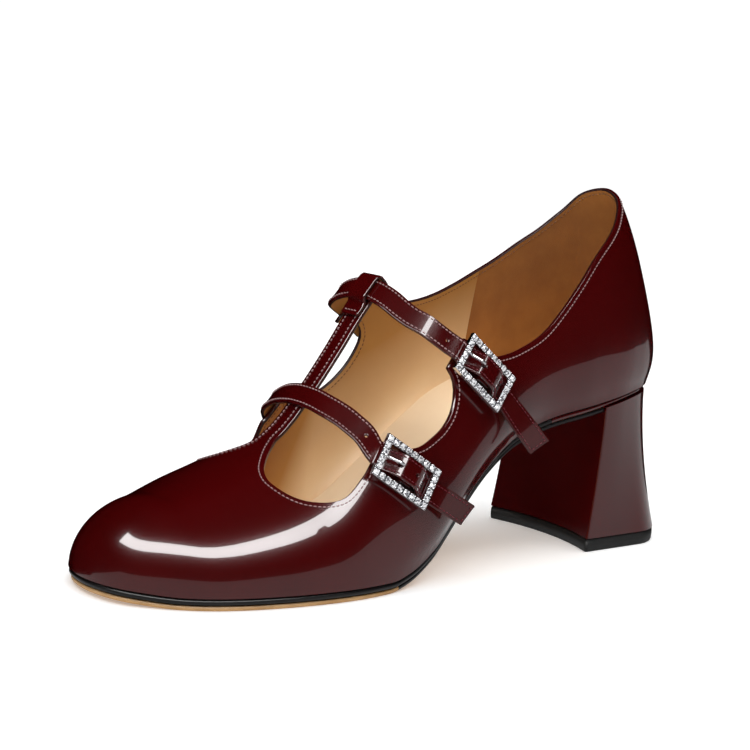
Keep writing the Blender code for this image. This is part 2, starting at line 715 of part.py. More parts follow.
def build_heel(leather, rubber):
    """A covered block that flares to a rubber top lift."""
    count = 34
    low, high = heel_floor_loop(count), heel_top_loop(count)
    n = len(low)
    levels = 8
    rings = []
    for k in range(levels + 1):
        s = k / levels
        weight = 1 - (1 - s) ** FLARE
        flat = low + (high - low) * weight
        foot = LIFT + GAP
        roof = ground((BACK_X - high[:, 0]) / LENGTH) + OUTSOLE
        rings.append(np.column_stack([flat, foot + (roof - foot) * s]))
    points = list(np.vstack(rings))
    faces = []
    for k in range(levels):
        for i in range(n):
            j = (i + 1) % n
            faces.append((k * n + i, k * n + j, (k + 1) * n + j, (k + 1) * n + i))
    top = rings[-1][:, :2]
    spacing = 0.008
    grid = np.array([(x, y) for x in np.arange(top[:, 0].min(), top[:, 0].max(), spacing)
                     for y in np.arange(top[:, 1].min(), top[:, 1].max(), spacing)])
    grid = grid[inside(grid, top)]
    grid = grid[spread(grid, top, spacing * CLOSEST)]
    for ring, extra in ((0, np.zeros((0, 2))), (levels, grid)):
        base = len(points)
        flat = np.vstack([rings[ring][:, :2], extra])
        height = ground((BACK_X - extra[:, 0]) / LENGTH) + OUTSOLE
        points += list(np.column_stack([extra, height]))
        index = [ring * n + i for i in range(n)] + [base + i for i in range(len(extra))]
        for face in triangulate(flat, [list(range(n))]):
            face = [index[i] for i in face]
            faces.append(tuple(face) if ring else tuple(reversed(face)))
    add_object("heel_block", points, faces, leather, 50)
    flat = low
    base = np.column_stack([flat, np.zeros(n)])
    roof = np.column_stack([flat, np.full(n, LIFT)])
    lift_points, lift_faces = thick_sheet(roof, base, triangulate(flat, [list(range(n))]))
    add_object("top_lift", lift_points, lift_faces, rubber)


def ribbon(name, centres, outs, width, thickness, look, columns=2):
    """A strip of even width and thickness along a line, with square ends."""
    centres, outs = np.asarray(centres), np.asarray(outs)
    count = len(centres)
    tangents = np.gradient(centres, axis=0)
    tangents /= np.linalg.norm(tangents, axis=1)[:, None]
    outs = outs - tangents * np.sum(outs * tangents, axis=1)[:, None]
    outs /= np.linalg.norm(outs, axis=1)[:, None]
    sides = np.cross(outs, tangents)
    across = np.linspace(-0.5, 0.5, columns + 1) * width
    points = []
    for layer in (0.5, -0.5):
        for c, o, w in zip(centres, outs, sides):
            points += [c + o * thickness * layer + w * a for a in across]
    m = columns + 1
    sheet = []
    for i in range(count - 1):
        for j in range(columns):
            a, b = i * m + j, i * m + j + 1
            sheet += [(a, b, b + m), (a, b + m, a + m)]
    n = count * m
    points, faces = thick_sheet(np.array(points[:n]), np.array(points[n:]), sheet)
    return add_object(name, points, faces, look)


def strap_line(course, lean, inner_end, tail, turns, buckle):
    """Middle line of a strap and its outward directions, from the inner end to the tail."""
    half = BUCKLE_LENGTH / 2
    leans = np.linspace(inner_end, lean, 60)
    spots = on_course(course, leans)
    base, out = surface(spots), normals_at(spots)
    keep = (base - buckle.origin) @ buckle.forward < -(half + STRAP_RUN_IN)
    points = list((base + out * (STRAP_LIFT + STRAP / 2))[keep][::3])
    outs = list(out[keep][::3])
    low, high = buckle.strap_under + STRAP / 2, buckle.strap_over + STRAP / 2
    rise_ends = half - BUCKLE_RIM - STRAP / 2
    profile = ((-half, low), (-rise_ends, low), (-HUMP, high - GAP / 2), (0.0, high),
               (HUMP, high - GAP / 2), (rise_ends, low), (half, low))
    for forward, height in profile:
        points.append(buckle.point(forward, 0, height))
        outs.append(buckle.out)
    droop, lift, twist = (math.radians(turn) for turn in turns)
    direction = buckle.forward * math.cos(droop) - buckle.side * math.sin(droop)
    across = np.cross(buckle.out, direction)
    direction = direction * math.cos(lift) + buckle.out * math.sin(lift)
    across = across * math.cos(twist) + np.cross(direction, across) * math.sin(twist)
    start = points[-1]
    for share in (0.25, 0.6, 1.0):
        points.append(start + direction * tail * share)
        outs.append(np.cross(direction, across) * share + buckle.out * (1 - share))
    both = np.hstack([np.array(points), np.array(outs)])
    line = smooth_both(both, STRAP_SPACING)
    return line[:, :3], line[:, 3:]


def smooth_both(rows, spacing):
    """Resample points and directions together, evenly along the points."""
    points = rows[:, :3]
    run = np.concatenate([[0], np.cumsum(np.linalg.norm(np.diff(points, axis=0), axis=1))])
    curve = smooth_line(points, spacing)
    curve_run = np.concatenate([[0], np.cumsum(np.linalg.norm(np.diff(curve, axis=0), axis=1))])
    at = curve_run / curve_run[-1] * run[-1]
    outs = np.stack([np.interp(at, run, rows[:, 3 + k]) for k in range(3)], axis=-1)
    return np.hstack([curve, outs])


def build_buckle(name, buckle, metal):
    """A flat four-sided frame with a thinner bar across its middle."""
    half, wide = BUCKLE_LENGTH / 2, BUCKLE_WIDTH / 2
    points, faces = [], []
    corners = ((-1, -1), (1, -1), (1, 1), (-1, 1))
    for height in (buckle.low, buckle.low + BUCKLE_HEIGHT):
        for inset in (0, BUCKLE_RIM):
            for a, b in corners:
                points.append(buckle.point(a * (half - inset), b * (wide - inset), height))
    for i in range(4):
        j = (i + 1) % 4
        faces += [(i, j, j + 8, i + 8), (i + 4, i + 12, j + 12, j + 4),
                  (i, i + 4, j + 4, j), (i + 8, j + 8, j + 12, i + 12)]
    frame = add_object(name, points, faces, metal)
    reach = wide - BUCKLE_RIM / 2
    rod = []
    foot = buckle.bar - BAR / 2
    for a in (-BAR / 2, BAR / 2):
        for b in (-reach, reach):
            for height in (foot, foot + BAR):
                rod.append(buckle.point(a, b, height))
    sides = [(0, 1, 3, 2), (4, 6, 7, 5), (0, 4, 5, 1), (2, 3, 7, 6), (0, 2, 6, 4), (1, 5, 7, 3)]
    bar = add_object(name + "_bar", rod, sides, metal)
    bar.hide_render = True
    bar.display_type = "WIRE"
    join = frame.modifiers.new("bar", "BOOLEAN")
    join.operation = "UNION"
    join.object = bar


def build_tab(name, course, lean, buckle, look):
    """A leather tab on the ear that folds round the buckle's bar."""
    leans = np.linspace(lean, lean - 0.12, 8)
    spots = on_course(course, leans)
    lift = GAP + TAB / 2
    lower = surface(spots) + normals_at(spots) * lift
    outs = [list(o) for o in normals_at(spots)]
    reach = np.linalg.norm(lower - lower[0], axis=1)
    keep = (reach > 0.0012) & (reach < TAB_REACH)
    points = [p for p, k in zip(lower, keep) if k][::-1]
    outs = [o for o, k in zip(outs, keep) if k][::-1]
    high = buckle.tab_top - TAB / 2
    middle, radius = (lift + high) / 2, (high - lift) / 2
    for turn in np.linspace(-math.pi / 2, math.pi / 2, 9):
        swing, rise = -math.cos(turn), math.sin(turn)
        points.append(buckle.point(radius * swing, 0, middle + radius * rise))
        outs.append(-(buckle.forward * swing + buckle.out * rise))
    for forward in (0.0014, 0.0028):
        points.append(buckle.point(forward, 0, high))
        outs.append(-buckle.out)
    ribbon(name, points, outs, TAB_WIDTH, TAB, look)


def build_prong(name, buckle, metal):
    """A round pin that comes through the strap and lies on the frame's upper end."""
    strap_top = buckle.strap_over + STRAP
    rest = buckle.low + BUCKLE_HEIGHT + GAP + PRONG / 2
    lying = strap_top + GAP + PRONG / 2
    root = PRONG_ROOT
    route = ((root, buckle.strap_over - 0.0002), (root, strap_top - 0.0004), (root - 0.0006, lying - 0.0003),
             (root - 0.0018, lying - 0.0002), (-0.0098, rest), (-0.0118, rest))
    line = smooth_line([buckle.point(forward, 0, height) for forward, height in route], 0.0012)
    tangents = np.gradient(line, axis=0)
    tangents /= np.linalg.norm(tangents, axis=1)[:, None]
    points, faces, count = [], [], 8
    for place, tangent in zip(line, tangents):
        up = np.cross(buckle.side, tangent)
        for k in range(count):
            turn = 2 * math.pi * k / count
            points.append(place + (buckle.side * math.cos(turn) + up * math.sin(turn)) * PRONG / 2)
    for i in range(len(line) - 1):
        for k in range(count):
            j = (k + 1) % count
            faces.append((i * count + k, i * count + j, (i + 1) * count + j, (i + 1) * count + k))
    faces.append(tuple(reversed(range(count))))
    faces.append(tuple((len(line) - 1) * count + k for k in range(count)))
    add_object(name, points, faces, metal)


def cut_hole(strap, buckle):
    """The hole that the prong comes through."""
    turn = np.linspace(0, 2 * math.pi, 13)[:-1]
    points = []
    for height in (0.0, 0.009):
        for t in turn:
            points.append(buckle.point(PRONG_ROOT + PRONG_HOLE / 2 * math.cos(t),
                                       PRONG_HOLE / 2 * math.sin(t), height))
    faces = [tuple(range(11, -1, -1)), tuple(range(12, 24))]
    faces += [(i, (i + 1) % 12, 12 + (i + 1) % 12, 12 + i) for i in range(12)]
    cutter = add_object(strap.name + "_hole", points, faces, strap.data.materials[0])
    cutter.hide_render = True
    cutter.display_type = "WIRE"
    cut = strap.modifiers.new("hole", "BOOLEAN")
    cut.operation = "DIFFERENCE"
    cut.object = cutter


def build_loop(look):
    """The T-bar's end folded over the rear strap, from its flap in front to its return below."""
    centre = column(REAR_COURSE, COURSE, 0.0)
    per_length = along_per_length(centre)
    leather = LOOP_LEATHER / 2
    rest = STRAP_LIFT + leather
    over = STRAP_LIFT + STRAP + 1.5 * GAP + leather
    edge = surface(t_bar_side(-1, np.array([centre])))[0]
    below = edge[2] - ridge_point(centre)[2] - WALL - GAP - leather
    front, back = -STRAP_WIDTH / 2 - 1.5 * GAP - leather, STRAP_WIDTH / 2 + 1.5 * GAP + leather
    route = ((front - 0.0052, rest), (front - 0.0015, rest), (front + 0.0001, rest + 0.0005),
             (front + 0.0003, over - 0.0004), (front + 0.0014, over), (0.0, over + 0.0001),
             (back - 0.0013, over), (back - 0.0002, over - 0.0008), (back, (over + below) / 2),
             (back - 0.0002, below + 0.0008), (back - 0.0013, below), (0.0, below))
    points = []
    for forward, lift in route:
        along = centre - forward * per_length
        points.append(ridge_point(along) + ridge_normal(along) * lift)
    line = smooth_line(points, 0.0011)
    tangents = np.gradient(line, axis=0)
    outs = np.cross(tangents, np.array([0.0, 1.0, 0.0]))
    ribbon("t_bar_loop", line, outs, LOOP_WIDTH, LOOP_LEATHER, look)


def ridge_normal(along):
    """Outward normal on the ridge, which lies in the middle plane."""
    step = 0.004
    t = unit(ridge_point(along + step) - ridge_point(along - step))
    n = np.array([-t[2], 0, t[0]])
    return n if n[2] > 0 else -n


def main():
    for old in list(bpy.data.objects):
        bpy.data.objects.remove(old, do_unlink=True)
    patent = material("burgundy_patent", (0.080, 0.004, 0.005), 0.06)
    tan = material("tan_sole_leather", (0.60, 0.36, 0.16), 0.45)
    black = material("black_edge", (0.006, 0.006, 0.006), 0.35)
    rubber = material("black_rubber", (0.012, 0.012, 0.012), 0.6)
    cream = material("insole_leather", (0.82, 0.60, 0.36), 0.5)
    silver = material("silver", (0.80, 0.80, 0.80), 0.15, 1.0)
    build_upper(patent)
    build_sole(tan, black, cream)
    build_heel(patent, rubber)
    for name, course, lean, inner_end, tail, low, *turns in STRAPS:
        buckle = Buckle(course, lean, low)
        centres, outs = strap_line(course, lean, inner_end, tail, turns, buckle)
        strap = ribbon("strap_" + name, centres, outs, STRAP_WIDTH, STRAP, patent)
        cut_hole(strap, buckle)
        build_buckle("buckle_" + name, buckle, silver)
        build_tab("buckle_tab_" + name, course, lean, buckle, patent)
        build_prong("prong_" + name, buckle, silver)
    build_loop(patent)


main()
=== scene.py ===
"""Fine surfaces, stitches, stones, camera and lights of a left mary jane pump.

Metres, in the frame of the CAD model: +Z up, the toe to -X, the outer side of the foot to -Y.
"""
import math

import bpy
import numpy as np
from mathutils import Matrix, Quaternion, Vector
from mathutils.geometry import delaunay_2d_cdt


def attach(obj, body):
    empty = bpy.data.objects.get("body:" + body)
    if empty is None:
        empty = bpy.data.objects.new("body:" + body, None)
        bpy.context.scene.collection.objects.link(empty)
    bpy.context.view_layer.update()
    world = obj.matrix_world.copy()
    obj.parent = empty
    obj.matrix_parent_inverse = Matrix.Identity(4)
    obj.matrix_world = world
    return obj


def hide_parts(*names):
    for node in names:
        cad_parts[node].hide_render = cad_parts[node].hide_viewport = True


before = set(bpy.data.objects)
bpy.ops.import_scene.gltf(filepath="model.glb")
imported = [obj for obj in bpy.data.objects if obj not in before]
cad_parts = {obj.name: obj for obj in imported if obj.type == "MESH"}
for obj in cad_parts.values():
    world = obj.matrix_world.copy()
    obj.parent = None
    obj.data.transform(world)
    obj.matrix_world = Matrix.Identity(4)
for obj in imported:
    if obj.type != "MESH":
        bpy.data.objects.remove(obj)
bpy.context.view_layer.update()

# Sizes of the last
LENGTH = 0.2444        # feather line from the heel's back to the toe's tip
BALL_WIDTH = 0.083     # feather line across the ball
INSTEP = 0.100         # ridge over the instep, above the floor, under the rear strap
HEEL_RISE = 0.058      # how much higher the sole lies at the seat than at the ball
BACK_X = 0.0176        # where the feather line ends at the back
SWELL = 0.0032         # how far the counter bulges past the feather line
SWELL_HEIGHT = 0.16    # where the bulge is widest, share of the way up to the ridge
WALL_LENGTH = 0.055    # typical length of the wall from the feather line to the ridge
TOE_POLE = 0.90        # along: the walls of the toe rise to this point of the ridge
HEEL_POLE = 0.17       # along: the walls of the heel rise to this point of the ridge

# Thicknesses and clearances
GAP = 0.0003
WALL = 0.0018
OUTSOLE = 0.0016
RAND = 0.0019
SOLE_GAP = 0.0004       # between the curved plates of the sole
SOLE_STACK = OUTSOLE + SOLE_GAP + RAND + SOLE_GAP

# Sizes of the sole, the insole and the heel
RAND_INSET = 0.0004
SEAT_INSET = 0.0012     # the rand steps back here above the heel
OUTSOLE_INSET = 0.0012
INSOLE = 0.0075         # padded under the heel and the arch
INSOLE_TOE = 0.0022
PAD_ENDS = (0.44, 0.70)   # along: the padding thins out between these
HEEL_DEPTH = 0.050      # floor face, front to back
HEEL_WIDTH = 0.0574     # floor face, side to side
HEEL_TURN = math.radians(4.2)   # the breast faces a little to the inner side
LIFT = 0.0048
BREAST_LEAN = 0.0048    # the breast's top lies this much further back than its foot
BREAST_HOLLOW = 0.005
FLARE = 1.7             # above 1, the heel's sides curve outward near the floor

# Sizes of the T-bar, the straps and the buckles
T_BAR = 0.0078
LOOP_WIDTH = 0.0088
LOOP_LEATHER = 0.0013
STRAP_WIDTH = 0.0083
STRAP = 0.0015
EAR_WIDTH = 0.0130
BUCKLE_LENGTH = 0.0250
BUCKLE_WIDTH = 0.0155
BUCKLE_RIM = 0.0026
BUCKLE_HEIGHT = 0.0020
BAR = 0.0010
BAR_INSET = 0.0002      # the bar lies this far inside the frame's underside
TAB = 0.0007
TAB_WIDTH = 0.0090
TAB_REACH = 0.0062      # the tab's lower leg lies on the ear this far past the buckle's bar
PRONG = 0.0012
PRONG_HOLE = 0.0024
PRONG_ROOT = -0.0042    # along the strap from the buckle's bar to where the prong comes through it

# Spacing of the fine surfaces' points
RIM_SPACING = 0.0016
CUT_SPACING = 0.0013
WALL_SPACING = 0.0026
PLATE_SPACING = 0.0035
CLOSEST = 0.55         # inner points of a plate keep this share of the spacing from its edge
WALL_CLOSEST = 0.62    # the same on the upper
STRAP_SPACING = 0.0012

# Feather line seen from above: share of LENGTH from the back, share of BALL_WIDTH to the inner side
OUTLINE = (
    (1.000, 0.04), (0.987, -0.140), (0.951, -0.262), (0.890, -0.388), (0.800, -0.474),
    (0.690, -0.515), (0.620, -0.500), (0.520, -0.435), (0.420, -0.365), (0.310, -0.335),
    (0.200, -0.345), (0.110, -0.318), (0.037, -0.226), (0.000, 0.000), (0.035, 0.232),
    (0.110, 0.325), (0.200, 0.335), (0.310, 0.300), (0.420, 0.280), (0.520, 0.350),
    (0.620, 0.425), (0.700, 0.490), (0.780, 0.490), (0.873, 0.445), (0.943, 0.362),
    (0.985, 0.226),
)

# Sections of the last.  along: share of LENGTH; rise: sole height, share of HEEL_RISE; ridge: share
# of INSTEP; outer and inner: roundness of either wall, 2 is an ellipse; swell: share of SWELL
SECTIONS = (
    # along, rise, ridge, outer, inner, swell
    (0.000, 1.000, 1.50, 1.69, 1.69, 0.80),
    (0.053, 0.980, 1.50, 1.78, 1.78, 0.80),
    (0.120, 0.945, 1.50, 1.95, 1.95, 0.75),
    (0.187, 0.902, 1.49, 2.15, 2.15, 0.70),
    (0.264, 0.850, 1.45, 2.20, 2.20, 0.80),
    (0.350, 0.740, 1.35, 2.20, 2.20, 1.05),
    (0.400, 0.612, 1.28, 2.20, 2.20, 1.20),
    (0.449, 0.440, 1.20, 2.20, 2.30, 1.25),
    (0.490, 0.275, 1.125, 2.20, 2.55, 1.15),
    (0.534, 0.120, 1.035, 2.20, 2.90, 0.90),
    (0.582, 0.030, 0.898, 2.20, 2.60, 0.50),
    (0.620, 0.000, 0.766, 2.20, 2.10, 0.20),
    (0.666, 0.000, 0.620, 2.20, 1.85, 0.00),
    (0.712, 0.000, 0.500, 2.20, 1.85, 0.00),
    (0.760, 0.000, 0.430, 2.25, 2.05, 0.00),
    (0.830, 0.000, 0.366, 2.30, 2.15, 0.00),
    (0.920, 0.000, 0.304, 2.30, 1.95, 0.00),
    (1.000, 0.022, 0.280, 2.20, 1.90, 0.00),
)
RISE, RIDGE, OUTER, INNER, SWELLING = range(1, 6)


def hermite(y0, y1, m0, m1, t):
    """Cubic from y0 to y1 with slopes m0 and m1, at t from 0 to 1."""
    return (y0 * (1 + 2 * t) * (1 - t) ** 2 + m0 * t * (1 - t) ** 2
            + y1 * t * t * (3 - 2 * t) + m1 * t * t * (t - 1))


def span(p0, p1, p2, p3, d0, d1, d2, t):
    """Smooth curve from p1 to p2, given their neighbours and the weights of the three steps."""
    m1 = d1 * ((p1 - p0) / d0 - (p2 - p0) / (d0 + d1) + (p2 - p1) / d1)
    m2 = d1 * ((p2 - p1) / d1 - (p3 - p1) / (d1 + d2) + (p3 - p2) / d2)
    return hermite(p1, p2, m1, m2, t)


def run_of(points):
    """Length along a line up to each of its points."""
    return np.concatenate([[0], np.cumsum(np.linalg.norm(np.diff(points, axis=0), axis=1))])


def read_at(at, run, rows):
    """Rows of values along a line, read at some lengths."""
    return np.stack([np.interp(at, run, rows[:, k]) for k in range(rows.shape[1])], axis=-1)


def column(table, name, at):
    """A column of a table at any place, by a smooth curve that never overshoots its rows."""
    rows = np.array(table, float)
    xs, ys = rows[:, 0], rows[:, name]
    steps = np.diff(xs)
    slopes = np.diff(ys) / steps
    tangents = np.zeros_like(ys)
    for i in range(1, len(xs) - 1):
        if slopes[i - 1] * slopes[i] > 0:
            before, after = 2 * steps[i] + steps[i - 1], steps[i] + 2 * steps[i - 1]
            tangents[i] = (before + after) / (before / slopes[i - 1] + after / slopes[i])
    at = np.clip(np.asarray(at, float), xs[0], xs[-1])
    i = np.clip(np.searchsorted(xs, at, side="right") - 1, 0, len(steps) - 1)
    t = (at - xs[i]) / steps[i]
    return hermite(ys[i], ys[i + 1], tangents[i] * steps[i], tangents[i + 1] * steps[i], t)


def smooth_loop(points, per=24):
    """A smooth closed curve through points, with per samples in each span."""
    p = np.asarray(points, float)
    n = len(p)
    d = np.sqrt(np.linalg.norm(np.roll(p, -1, 0) - p, axis=1))
    t = (np.arange(per) / per)[:, None]
    return np.vstack([span(p[i - 1], p[i], p[(i + 1) % n], p[(i + 2) % n],
                           d[i - 1], d[i], d[(i + 1) % n], t) for i in range(n)])


class Last:
    """The shape of the foot form: a feather line and walls that rise from it to a ridge."""

    def __init__(self):
        self.line = smooth_loop(np.array(OUTLINE) * (LENGTH, BALL_WIDTH))
        tip = int(self.line[:, 0].argmax())
        self.line = np.roll(self.line, -tip, axis=0)
        self.back = int(self.line[:, 0].argmin())
        self.closed = np.vstack([self.line, self.line[:1]])
        self.run = run_of(self.closed)
        self.girth = self.run[-1]

    def station(self, along, side):
        """Place on the feather line, 0 to 1 from the toe's tip round the outer side."""
        along = np.asarray(along, float) * LENGTH
        part = slice(self.back, None, -1) if side < 0 else slice(self.back, None)
        return np.interp(along, self.closed[part, 0], self.run[part]) / self.girth

    def feather(self, place):
        """Distance along and across of a place on the feather line."""
        run = (np.asarray(place, float) % 1.0) * self.girth
        return tuple(np.interp(run, self.run, self.closed[:, k]) for k in (0, 1))

    def wall(self, place, level):
        """Outer surface at a place round the shoe and a level, 0 at the feather line, 1 at the ridge."""
        along, across = self.feather(place)
        share = along / LENGTH
        pole = np.clip(share, HEEL_POLE, TOE_POLE)
        turn = np.clip(level, 0, 1) * math.pi / 2
        power = 2 / roundness(share, across)
        out = np.cos(turn) ** power
        up = np.sin(turn) ** power
        low = sole_top(share)
        high = column(SECTIONS, RIDGE, pole) * INSTEP
        ridge_x = pole * LENGTH
        dx, dy = along - ridge_x, across
        reach = np.hypot(dx, dy)
        bump = (up / SWELL_HEIGHT * np.exp(1 - up / SWELL_HEIGHT)) ** 1.5
        grow = 1 + column(SECTIONS, SWELLING, share) * SWELL * bump / reach / np.maximum(out, 0.2)
        x = ridge_x + dx * out * grow
        y = dy * out * grow
        return np.stack([BACK_X - x, y, low + (high - low) * up], axis=-1)


def roundness(along, side):
    """Roundness of the outer wall where side is negative, or of the inner one."""
    return np.where(np.asarray(side) < 0, column(SECTIONS, OUTER, along), column(SECTIONS, INNER, along))


def ground(along):
    """Height of the sole's underside."""
    return column(SECTIONS, RISE, along) * HEEL_RISE


def sole_top(along):
    """Height of the feather line, on top of outsole and rand."""
    return ground(along) + SOLE_STACK


last = Last()


# Cut of the upper.  Each row is a place on the wall: along, share of LENGTH; height, share of the way
# up from the feather line to the ridge.  The outer side is the one with the buckles.
THROAT_OUTER = ((0.739, 0.993), (0.755, 0.982), (0.770, 0.958), (0.777, 0.915), (0.774, 0.860),
                (0.765, 0.790), (0.752, 0.728), (0.734, 0.671), (0.714, 0.624), (0.693, 0.596))
THROAT_INNER = ((0.739, 0.993), (0.755, 0.982), (0.768, 0.958), (0.774, 0.915), (0.768, 0.862),
                (0.752, 0.780), (0.728, 0.685), (0.702, 0.615), (0.676, 0.575), (0.656, 0.575))
SCOOP_OUTER = ((0.605, 0.570), (0.597, 0.540), (0.582, 0.503), (0.563, 0.467), (0.540, 0.445),
               (0.516, 0.437), (0.500, 0.455), (0.493, 0.495), (0.493, 0.540))
SCOOP_INNER = ((0.606, 0.622), (0.584, 0.560), (0.555, 0.512), (0.525, 0.500), (0.498, 0.532),
               (0.487, 0.600), (0.496, 0.680))
TOPLINE_OUTER = ((0.430, 0.500), (0.411, 0.441), (0.388, 0.402), (0.360, 0.374), (0.312, 0.370),
                 (0.278, 0.412), (0.240, 0.490), (0.197, 0.590), (0.150, 0.670), (0.090, 0.750),
                 (0.035, 0.805))
TOPLINE_BACK = 0.825
TOPLINE_INNER = ((0.035, 0.792), (0.085, 0.712), (0.149, 0.614), (0.215, 0.536), (0.265, 0.505),
                 (0.314, 0.498), (0.362, 0.520), (0.405, 0.575), (0.446, 0.655))
T_BAR_ROOT = 0.722     # along: the T-bar's straight sides start here
T_BAR_TAIL = 0.0028    # length of the T-bar past the middle of the rear strap

# Course of the straps over the last.  lean: 0 on the ridge, -1 at the outer feather line, 1 at the
# inner one; along: share of LENGTH
FRONT_COURSE = ((-0.900, 0.518), (-0.844, 0.546), (-0.728, 0.600), (-0.583, 0.634), (-0.356, 0.657),
                (-0.150, 0.667), (0.050, 0.669), (0.250, 0.664), (0.400, 0.650), (0.560, 0.626),
                (0.700, 0.600))
REAR_COURSE = ((-0.920, 0.372), (-0.856, 0.398), (-0.739, 0.442), (-0.606, 0.480), (-0.461, 0.519),
               (-0.267, 0.552), (-0.100, 0.558), (0.100, 0.559), (0.280, 0.553), (0.420, 0.534),
               (0.560, 0.500), (0.700, 0.465))
COURSE = 1
STRAPS = (
    # name, course, lean at the buckle, lean at the inner end, tail length, height of the buckle's
    # underside above the ear, and the tail's turn in its own plane, away from the ear and about itself
    ("front", FRONT_COURSE, -0.714, 0.640, 0.0178, 0.0016, -2.0, 3.0, 30.0),
    ("rear", REAR_COURSE, -0.720, 0.640, 0.0235, 0.0026, 14.0, 9.0, 38.0),
)
EAR_REACH = 0.0120      # the outer ears run this far above the buckle's middle
EAR_INNER_TOP = 0.480   # lean at the top of the inner ears
STRAP_LIFT = 0.0004     # underside of a strap above the upper
STRAP_RUN_IN = 0.0035   # the strap leaves the upper this far before the buckle
HUMP = 0.0038           # half the length of strap that lies raised on the bar


def arc_places(rows, side):
    """Place and level of rows of along and height."""
    along = np.array([row[0] for row in rows])
    height = np.array([row[1] for row in rows])
    power = roundness(along, side) / 2
    return np.stack([last.station(along, side),
                     np.arcsin(height ** power) * 2 / math.pi], axis=-1)


def on_course(course, lean):
    """Place and level of a strap's middle line at some leans."""
    lean = np.atleast_1d(np.asarray(lean, float))
    along = column(course, COURSE, lean)
    place = np.where(lean < 0, last.station(along, -1), last.station(along, 1))
    return np.stack([place, 1 - np.abs(lean)], axis=-1)


def surface(spots):
    """Points of the outer surface at rows of place and level."""
    return last.wall(spots[:, 0], spots[:, 1])


def slopes_at(spots):
    """Directions of the surface, per unit of place and of level."""
    step = 1e-4
    place, level = spots[:, 0], np.clip(spots[:, 1], 0.004, 0.985)
    round_ = (last.wall(place + step, level) - last.wall(place - step, level)) / (2 * step)
    rise = (last.wall(place, level + step) - last.wall(place, level - step)) / (2 * step)
    return round_, rise


def normals_at(spots):
    """Outward normals of the outer surface."""
    round_, rise = slopes_at(spots)
    n = np.cross(round_, rise)
    n /= np.linalg.norm(n, axis=1)[:, None]
    return n


def shifted(spot, move):
    """The spot reached from another one by a small move along the surface."""
    spot = np.array([spot], float)
    for share in (0.5, 0.5):
        round_, rise = slopes_at(spot)
        basis = np.stack([round_[0], rise[0]], axis=1)
        spot = spot + np.linalg.lstsq(basis, np.asarray(move) * share, rcond=None)[0]
    return spot[0]


def unit(v):
    return v / np.linalg.norm(v)


def smooth_line(points, spacing):
    """A smooth open curve through points, resampled evenly."""
    p = np.asarray(points, float)
    p = np.vstack([2 * p[0] - p[1], p, 2 * p[-1] - p[-2]])
    d = [math.sqrt(np.linalg.norm(b - a)) for a, b in zip(p[:-1], p[1:])]
    t = np.linspace(0, 1, 12, endpoint=False)[:, None]
    spans = [span(*p[i:i + 4], *d[i:i + 3], t) for i in range(len(p) - 3)]
    curve = np.vstack(spans + [p[-2:-1]])
    run = run_of(curve)
    count = max(2, int(round(run[-1] / spacing)) + 1)
    return read_at(np.linspace(0, run[-1], count), run, curve)


def triangulate(flat, loops):
    """Triangles that fill the area between closed loops of indices, through every point."""
    edges = [(loop[i], loop[(i + 1) % len(loop)]) for loop in loops for i in range(len(loop))]
    _, _, faces, origin, _, _ = delaunay_2d_cdt([Vector(p) for p in flat], edges, [], 2, 1e-7)
    return [tuple(origin[i][0] for i in face) for face in faces]


def facing(faces, points, outs):
    """Triangles turned so that each faces the way its first point's direction does."""
    a, b, c = (points[faces[:, k]] for k in range(3))
    turned = np.sum(np.cross(b - a, c - a) * outs[faces[:, 0]], axis=1) < 0
    faces[turned] = faces[turned][:, ::-1]
    return faces


def on_floor(flat):
    """Flat points as points at height 0."""
    return np.column_stack([flat, np.zeros(len(flat))])


def inside(points, loop):
    """Which points lie inside a closed flat loop."""
    x, y = points[:, 0], points[:, 1]
    odd = np.zeros(len(points), bool)
    for (x1, y1), (x2, y2) in zip(loop, np.roll(loop, -1, axis=0)):
        crosses = (y1 > y) != (y2 > y)
        at = x1 + (y - y1) * (x2 - x1) / (y2 - y1 if y2 != y1 else 1e-12)
        odd ^= crosses & (x < at)
    return odd


def outline_loop(inset):
    """The feather line seen from above, moved inward by a function of along."""
    count = int(last.girth / RIM_SPACING)
    place = np.arange(count) / count
    along, across = last.feather(place)
    step = 1e-3
    a1, c1 = last.feather(place + step)
    a0, c0 = last.feather(place - step)
    tangent = np.stack([a0 - a1, c1 - c0], axis=-1)
    tangent /= np.linalg.norm(tangent, axis=1)[:, None]
    normal = np.stack([tangent[:, 1], -tangent[:, 0]], axis=-1)
    points = np.stack([BACK_X - along, across], axis=-1)
    middle = points.mean(axis=0)
    if np.sum((points - middle) * normal) < 0:
        normal = -normal
    return points - normal * np.reshape(inset(along / LENGTH), (-1, 1))


def chart(spots):
    """The wall laid flat: the ridge in the middle, the feather line as the outer edge."""
    place, level = spots[:, 0], spots[:, 1]
    along, across = last.feather(place)
    share = along / LENGTH
    pole = np.clip(share, HEEL_POLE, TOE_POLE)
    ridge = np.stack([pole * LENGTH, 0 * pole], axis=-1)
    reach = np.stack([along, across], axis=-1) - ridge
    width = np.linalg.norm(reach, axis=1)
    rise = column(SECTIONS, RIDGE, pole) * INSTEP - sole_top(share)
    stretch = np.hypot(width, rise) / width
    return ridge + reach * (stretch * (1 - level))[:, None]


def step_ahead(course, lean, step):
    """From a bit behind a spot of a strap's course to a bit ahead of it."""
    return surface(on_course(course, lean - step))[0] - surface(on_course(course, lean + step))[0]


